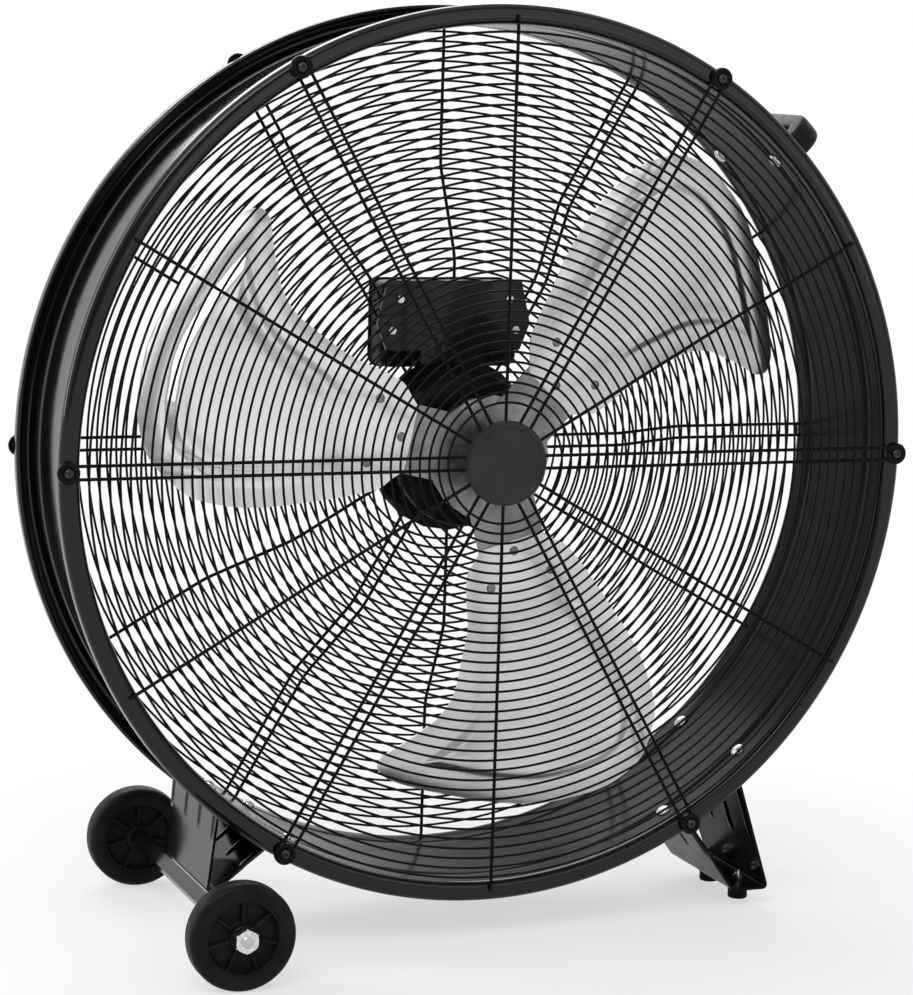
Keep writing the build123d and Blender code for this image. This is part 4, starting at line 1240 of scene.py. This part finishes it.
class DRUMFAN_OT_switch_box(bpy.types.Operator):
    """Control box behind the rear grille, with its cover, knob and screws"""

    bl_idname = "drumfan.switch_box"
    bl_label = "Switch box"

    bulge = 0.0035
    screw_radius, screw_height, screw_sink = 0.0036, 0.0027, 0.0005
    knob_gap = 0.001
    grip_rise = 0.005
    grip_sink, grip_inset, grip_half, grip_height = 0.001, 0.0035, 0.0035, 0.006
    grip_corner, grip_bevel = 0.003, 0.0008
    flutes = 24
    flute_depth = 0.00025

    def moulding(self, node, corner, levels):
        """Rounded rectangle whose sides swell by a cosine of the height, drawn in at each level.

        A level is the inset of the outline and its Y.
        """
        (left, _, bottom), (right, _, top) = low(node), high(node)
        mid_x, mid_z = (left + right) / 2, (bottom + top) / 2
        outline = rounded([(left, bottom), (right, bottom), (right, top), (left, top)], corner, 9)
        pull = -self.bulge * (1 - np.cos(pi / 2 * (outline[:, 1] - mid_z) / ((top - bottom) / 2)))
        outline[:, 0] += np.sign(outline[:, 0] - mid_x) * pull
        centre = (outline.max(axis=0) + outline.min(axis=0)) / 2
        reach = (outline.max(axis=0) - outline.min(axis=0)) / 2
        grid = []
        for inset, y in levels:
            flat = centre + (outline - centre) * (1 - inset / reach)
            grid.append(points(flat[:, 0], y, flat[:, 1]))
        return shell(np.array(grid))

    def execute(self, context):
        front, back = low("control_box")[1], high("control_box")[1]
        box = [
            (0.006, front), (0.002, front + 0.0008), (0.0006, front + 0.0025), (0.0, front + 0.005),
            (0.0, back),
        ]
        start, back = low("control_box_cover")[1], high("control_box_cover")[1]
        cover = [
            (0.0, start), (0.0, back - 0.0014), (0.0005, back - 0.0005), (0.0014, back), (0.004, back),
            (0.005, back - 0.0005),
        ]
        for name, node, corner, levels in (
            ("box_moulding", "control_box", 0.010, box),
            ("box_cover", "control_box_cover", 0.012, cover),
        ):
            shells = [self.moulding(node, corner, levels)]
            piece(name, shells, "grained_plastic", "black_plastic", node, crease=40)
        self.screws(back)
        self.knob(back)
        self.gland(back)
        return {"FINISHED"}

    def screws(self, face):
        """Four cover screws at the corners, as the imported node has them."""
        first, last = low("cover_screws") + self.screw_radius, high("cover_screws") - self.screw_radius
        head = pan_head(self.screw_radius, self.screw_height)
        heads = [
            lathe(head, (x, face - self.screw_sink, z), (0, 1, 0), 24)
            for x in (first[0], last[0])
            for z in (first[2], last[2])
        ]
        piece("cover_screw_heads", heads, "oxide_screw", "black_screw", "cover_screws")

    def grip(self, place, long):
        """Bar across the knob with rounded ends and bevelled edges: its outline drawn in at both ends."""
        wide, thick, bevel = self.grip_half, self.grip_height, self.grip_bevel
        corners = [(-wide, -long), (wide, -long), (wide, long), (-wide, long)]
        outline = rounded(corners, self.grip_corner, 6)
        centre = outline.mean(axis=0)
        draw = bevel / np.linalg.norm(outline - centre, axis=1).max()
        levels = [(1 - draw, 0), (1 - draw * 0.3, bevel * 0.3), (1, bevel)]
        levels += [(share, thick - height) for share, height in levels[::-1]]
        grid = []
        for share, height in levels:
            flat = centre + (outline - centre) * share
            grid.append(place + points(flat[:, 0], height, flat[:, 1]))
        return shell(np.array(grid))

    def knob(self, face):
        """Fluted knob with a raised grip bar across it."""
        centre, radius = middle("speed_knob"), half_size("speed_knob")[0]
        start = face + self.knob_gap
        skirt = high("speed_knob")[1] - start - self.grip_rise

        def fluted(spread, turn):
            """Shallow flutes round the skirt: cosine waves a quarter of a millimetre deep to each side."""
            return spread - self.flute_depth * (1 + np.cos(self.flutes * turn)) * (spread > radius * 0.9)

        profile = [
            (0.0004, -0.004), (0.003, -0.004), (0.003, 0), (radius - 0.001, 0), (radius, 0.001),
            (radius - 0.0005, skirt - 0.0016), (radius - 0.0018, skirt - 0.0003), (radius - 0.003, skirt),
            (0.0004, skirt),
        ]
        turned = lathe(profile, (centre[0], start, centre[2]), (0, 1, 0), 192, fluted)
        place = np.array([centre[0], start + skirt - self.grip_sink, centre[2]])
        shells = [turned, self.grip(place, radius - self.grip_inset)]
        piece("switch_knob", shells, "cap_plastic", "cap_plastic", "speed_knob", body="knob", crease=40)

    def gland(self, face):
        """Cable gland: a threaded body, a hexagon on the cover and a round cap nut behind it."""
        centre = middle("cable_gland")
        length = high("cable_gland")[1] - face
        cap = [
            (0.0040, 0.004), (0.0076, 0.0045), (0.0076, length - 0.004), (0.0070, length - 0.0018),
            (0.0056, length), (0.0040, length),
        ]
        body = [(0.0040, -0.0028), (0.0064, -0.0028), (0.0064, 0.004), (0.0040, 0.004)]
        collar = [(0.0060, 0.0), (0.0094, 0.0), (0.0094, 0.0048), (0.0060, 0.0048)]
        rings = [
            lathe(section, (centre[0], face, centre[2]), (0, 1, 0), 60, shape, closed=True)
            for section, shape in ((body, None), (collar, hexagon(0.0081)), (cap, None))
        ]
        piece("gland_nut", rings, "grained_plastic", "black_plastic", "cable_gland")


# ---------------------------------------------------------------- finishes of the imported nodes


class DRUMFAN_OT_finishes(bpy.types.Operator):
    """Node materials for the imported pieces, those that stay in view and those replaced"""

    bl_idname = "drumfan.finishes"
    bl_label = "Finishes of the packed pieces"

    of_node = {
        "front_hub_plate": "gloss_enamel", "motor_mount_plate": "gloss_enamel", "axle_sleeve": "gloss_enamel",
        "hub_spider": "spider_steel", "hub_nut": "zinc_plate", "motor_shaft": "ground_steel",
        "motor_mount_screws": "zinc_plate", "box_screws": "zinc_plate", "speed_switch": "grained_plastic",
        "run_capacitor": "capacitor_can",
    }
    of_slot = {
        "gloss_black_steel": "gloss_enamel", "wire_black": "wire_coat", "blade_aluminium": "blade_sheet",
        "spider_steel": "spider_steel", "motor_black": "motor_enamel", "shaft_steel": "ground_steel",
        "black_plastic": "grained_plastic", "cap_plastic": "cap_plastic", "black_rubber": "foot_rubber",
        "wheel_black": "tyre_plastic", "zinc_steel": "zinc_plate", "black_screw": "oxide_screw",
        "capacitor_white": "capacitor_can",
    }

    def execute(self, context):
        slots = {row["node"]: row["material_slot"] for row in frame["record"]["subparts"]}
        for node, thing in frame["nodes"].items():
            look = self.of_node.get(node) or self.of_slot[slots[node]]
            if not thing.material_slots:
                thing.data.materials.append(None)
            for holder in thing.material_slots:
                holder.material = finish(look)
        return {"FINISHED"}


# ---------------------------------------------------------------- stage


class DRUMFAN_OT_stage(bpy.types.Operator):
    """Pale floor, plain background, soft lights and the camera"""

    bl_idname = "drumfan.stage"
    bl_label = "Stage and camera"

    yaw, pitch, roll = 21.657, 8.519, 1.717
    target = (-0.04675, -0.09286, 0.42917)
    distance = 2.72744
    focal_pixels = 2919.57
    frame_height_pixels = 995
    film = 36.0
    shade = 0.45
    dim_room, dim_from, dim_to = 0.25, -0.85, -0.35
    floor_edge = 12.0
    clear_floor, fade_from, fade_to = 0.6, 0.30, 0.85
    lamps = {
        "key_softbox": ((-1.6, -2.3, 3.3), 2.2, 2.0, 62),
        "panel_softbox": ((1.1, -2.7, 1.25), 1.7, 1.7, 11),
        "side_softbox": ((-2.6, 1.0, 1.4), 0.7, 1.8, 30),
        "back_softbox": ((0.4, 2.8, 2.4), 2.4, 1.6, 40),
    }

    def place(self, name, data):
        """New object on the scene."""
        thing = bpy.data.objects.new(name, data)
        bpy.context.scene.collection.objects.link(thing)
        return thing

    def camera(self):
        """Camera at the photograph's angle: it looks along yaw and pitch, and leans by the roll."""
        yaw, pitch, roll = radians(self.yaw), radians(self.pitch), radians(self.roll)
        forward = Vector((sin(yaw) * cos(pitch), cos(yaw) * cos(pitch), -sin(pitch)))
        level = Vector((cos(yaw), -sin(yaw), 0))
        upright = level.cross(forward)
        right = level * cos(roll) + upright * sin(roll)
        up = upright * cos(roll) - level * sin(roll)
        lens = bpy.data.cameras.new("photo_camera")
        lens.sensor_width = self.film
        lens.sensor_fit = "AUTO"
        lens.lens = self.focal_pixels / self.frame_height_pixels * self.film
        camera = self.place("photo_camera", lens)
        turn = Matrix((right, up, -forward)).transposed().to_4x4()
        camera.matrix_world = Matrix.Translation(Vector(self.target) - forward * self.distance) @ turn
        bpy.context.scene.camera = camera

    def lamp(self, name, place, width, height, power):
        """Soft rectangular lamp aimed at the drum's middle."""
        light = bpy.data.lights.new(name, "AREA")
        light.shape = "RECTANGLE"
        light.size, light.size_y = width, height
        light.energy = power
        lamp = self.place(name, light)
        lamp.location = place
        aim = Vector((0.0, 0.0, AXIS_HEIGHT)) - Vector(place)
        lamp.rotation_euler = aim.to_track_quat("-Z", "Y").to_euler()

    def white_for_the_lens(self, tree, shade):
        """White where the camera, a glossy or a clear surface looks, and the plain shade elsewhere."""
        ray = new_node(tree, "LightPath").outputs
        seen = combined(tree, "MAXIMUM", ray["Is Camera Ray"], ray["Is Glossy Ray"])
        seen = combined(tree, "MAXIMUM", seen, ray["Is Transmission Ray"])
        return spread_out(tree, seen, 0.0, 1.0, shade, 1.0)

    def room_behind_the_camera(self, tree):
        """One all round, falling to a dim room in front of the fan."""
        way = new_node(tree, "SeparateXYZ", {"Vector": new_node(tree, "TexCoord").outputs["Generated"]})
        return spread_out(
            tree, way.outputs["Y"], self.dim_from, self.dim_to, self.dim_room, 1.0,
            interpolation_type="SMOOTHSTEP",
        )

    def world(self):
        """White background that gives only a little light; shiny pieces see the dim room in it too."""
        world = bpy.data.worlds.new("studio")
        world.use_nodes = True
        tree = world.node_tree
        camera_ray = new_node(tree, "LightPath").outputs["Is Camera Ray"]
        room = combined(tree, "MAXIMUM", self.room_behind_the_camera(tree), camera_ray)
        strength = combined(tree, "MULTIPLY", self.white_for_the_lens(tree, self.shade), room)
        plug(tree, tree.nodes["Background"], {"Color": (1, 1, 1, 1), "Strength": strength})
        bpy.context.scene.world = world

    def floor(self):
        """Large pale floor."""
        edge = self.floor_edge
        mesh = bpy.data.meshes.new("studio_floor")
        corners = [(-edge, -edge, 0), (edge, -edge, 0), (edge, edge, 0), (-edge, edge, 0)]
        mesh.from_pydata(corners, [], [(0, 1, 2, 3)])
        floor = self.place("studio_floor", mesh)
        look = Finish(*FINISHES["floor"])
        self.fade(look)
        mesh.materials.append(look.material)

    def fade(self, look):
        """Far from the fan the floor is plain white to the lens; light from the fan still falls on it."""
        tree = look.tree
        distance = new_node(tree, "VectorMath", {0: look.coordinates}, operation="LENGTH").outputs["Value"]
        far = spread_out(
            tree, distance, self.fade_from, self.fade_to, self.clear_floor, 1.0,
            interpolation_type="SMOOTHSTEP",
        )
        seen = combined(tree, "MULTIPLY", far, self.white_for_the_lens(tree, 0.0))
        white = new_node(tree, "Emission").outputs["Emission"]
        blend = new_node(tree, "MixShader", {"Fac": seen, 1: look.shader.outputs["BSDF"], 2: white})
        plug(tree, tree.nodes["Material Output"], {"Surface": blend.outputs["Shader"]})

    def execute(self, context):
        self.camera()
        self.world()
        self.floor()
        for name, settings in self.lamps.items():
            self.lamp(name, *settings)
        context.scene.view_settings.view_transform = "Standard"
        return {"FINISHED"}


# ---------------------------------------------------------------- panel and registering

STEPS = (
    DRUMFAN_OT_stage, DRUMFAN_OT_drum, DRUMFAN_OT_grilles, DRUMFAN_OT_clips, DRUMFAN_OT_cap,
    DRUMFAN_OT_blades, DRUMFAN_OT_motor, DRUMFAN_OT_switch_box, DRUMFAN_OT_wheels, DRUMFAN_OT_legs,
    DRUMFAN_OT_fasteners, DRUMFAN_OT_feet, DRUMFAN_OT_handle, DRUMFAN_OT_finishes,
)


class DRUMFAN_PT_panel(bpy.types.Panel):
    """Buttons for every group of pieces, and the sizes and colours behind them"""

    bl_idname = "DRUMFAN_PT_panel"
    bl_label = "Drum Fan"
    bl_space_type = "VIEW_3D"
    bl_region_type = "UI"
    bl_category = "Drum Fan"

    def draw(self, context):
        for step in STEPS:
            self.layout.operator(step.bl_idname)
        for group in (context.scene.drum_fan_sizes, context.scene.drum_fan_colours):
            column = self.layout.column()
            for name in group.__annotations__:
                column.prop(group, name)


CLASSES = (DrumFanSizes, DrumFanColours, *STEPS, DRUMFAN_PT_panel)


def register():
    """Adds the classes and the two groups of settings."""
    for cls in CLASSES:
        bpy.utils.register_class(cls)
    bpy.types.Scene.drum_fan_sizes = bpy.props.PointerProperty(type=DrumFanSizes)
    bpy.types.Scene.drum_fan_colours = bpy.props.PointerProperty(type=DrumFanColours)


def unregister():
    """Takes them away again."""
    del bpy.types.Scene.drum_fan_colours
    del bpy.types.Scene.drum_fan_sizes
    for cls in reversed(CLASSES):
        bpy.utils.unregister_class(cls)


def main():
    """Registers the add-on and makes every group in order."""
    register()
    for step in STEPS:
        group, name = step.bl_idname.split(".")
        getattr(getattr(bpy.ops, group), name)()


if __name__ == "__main__":
    main()
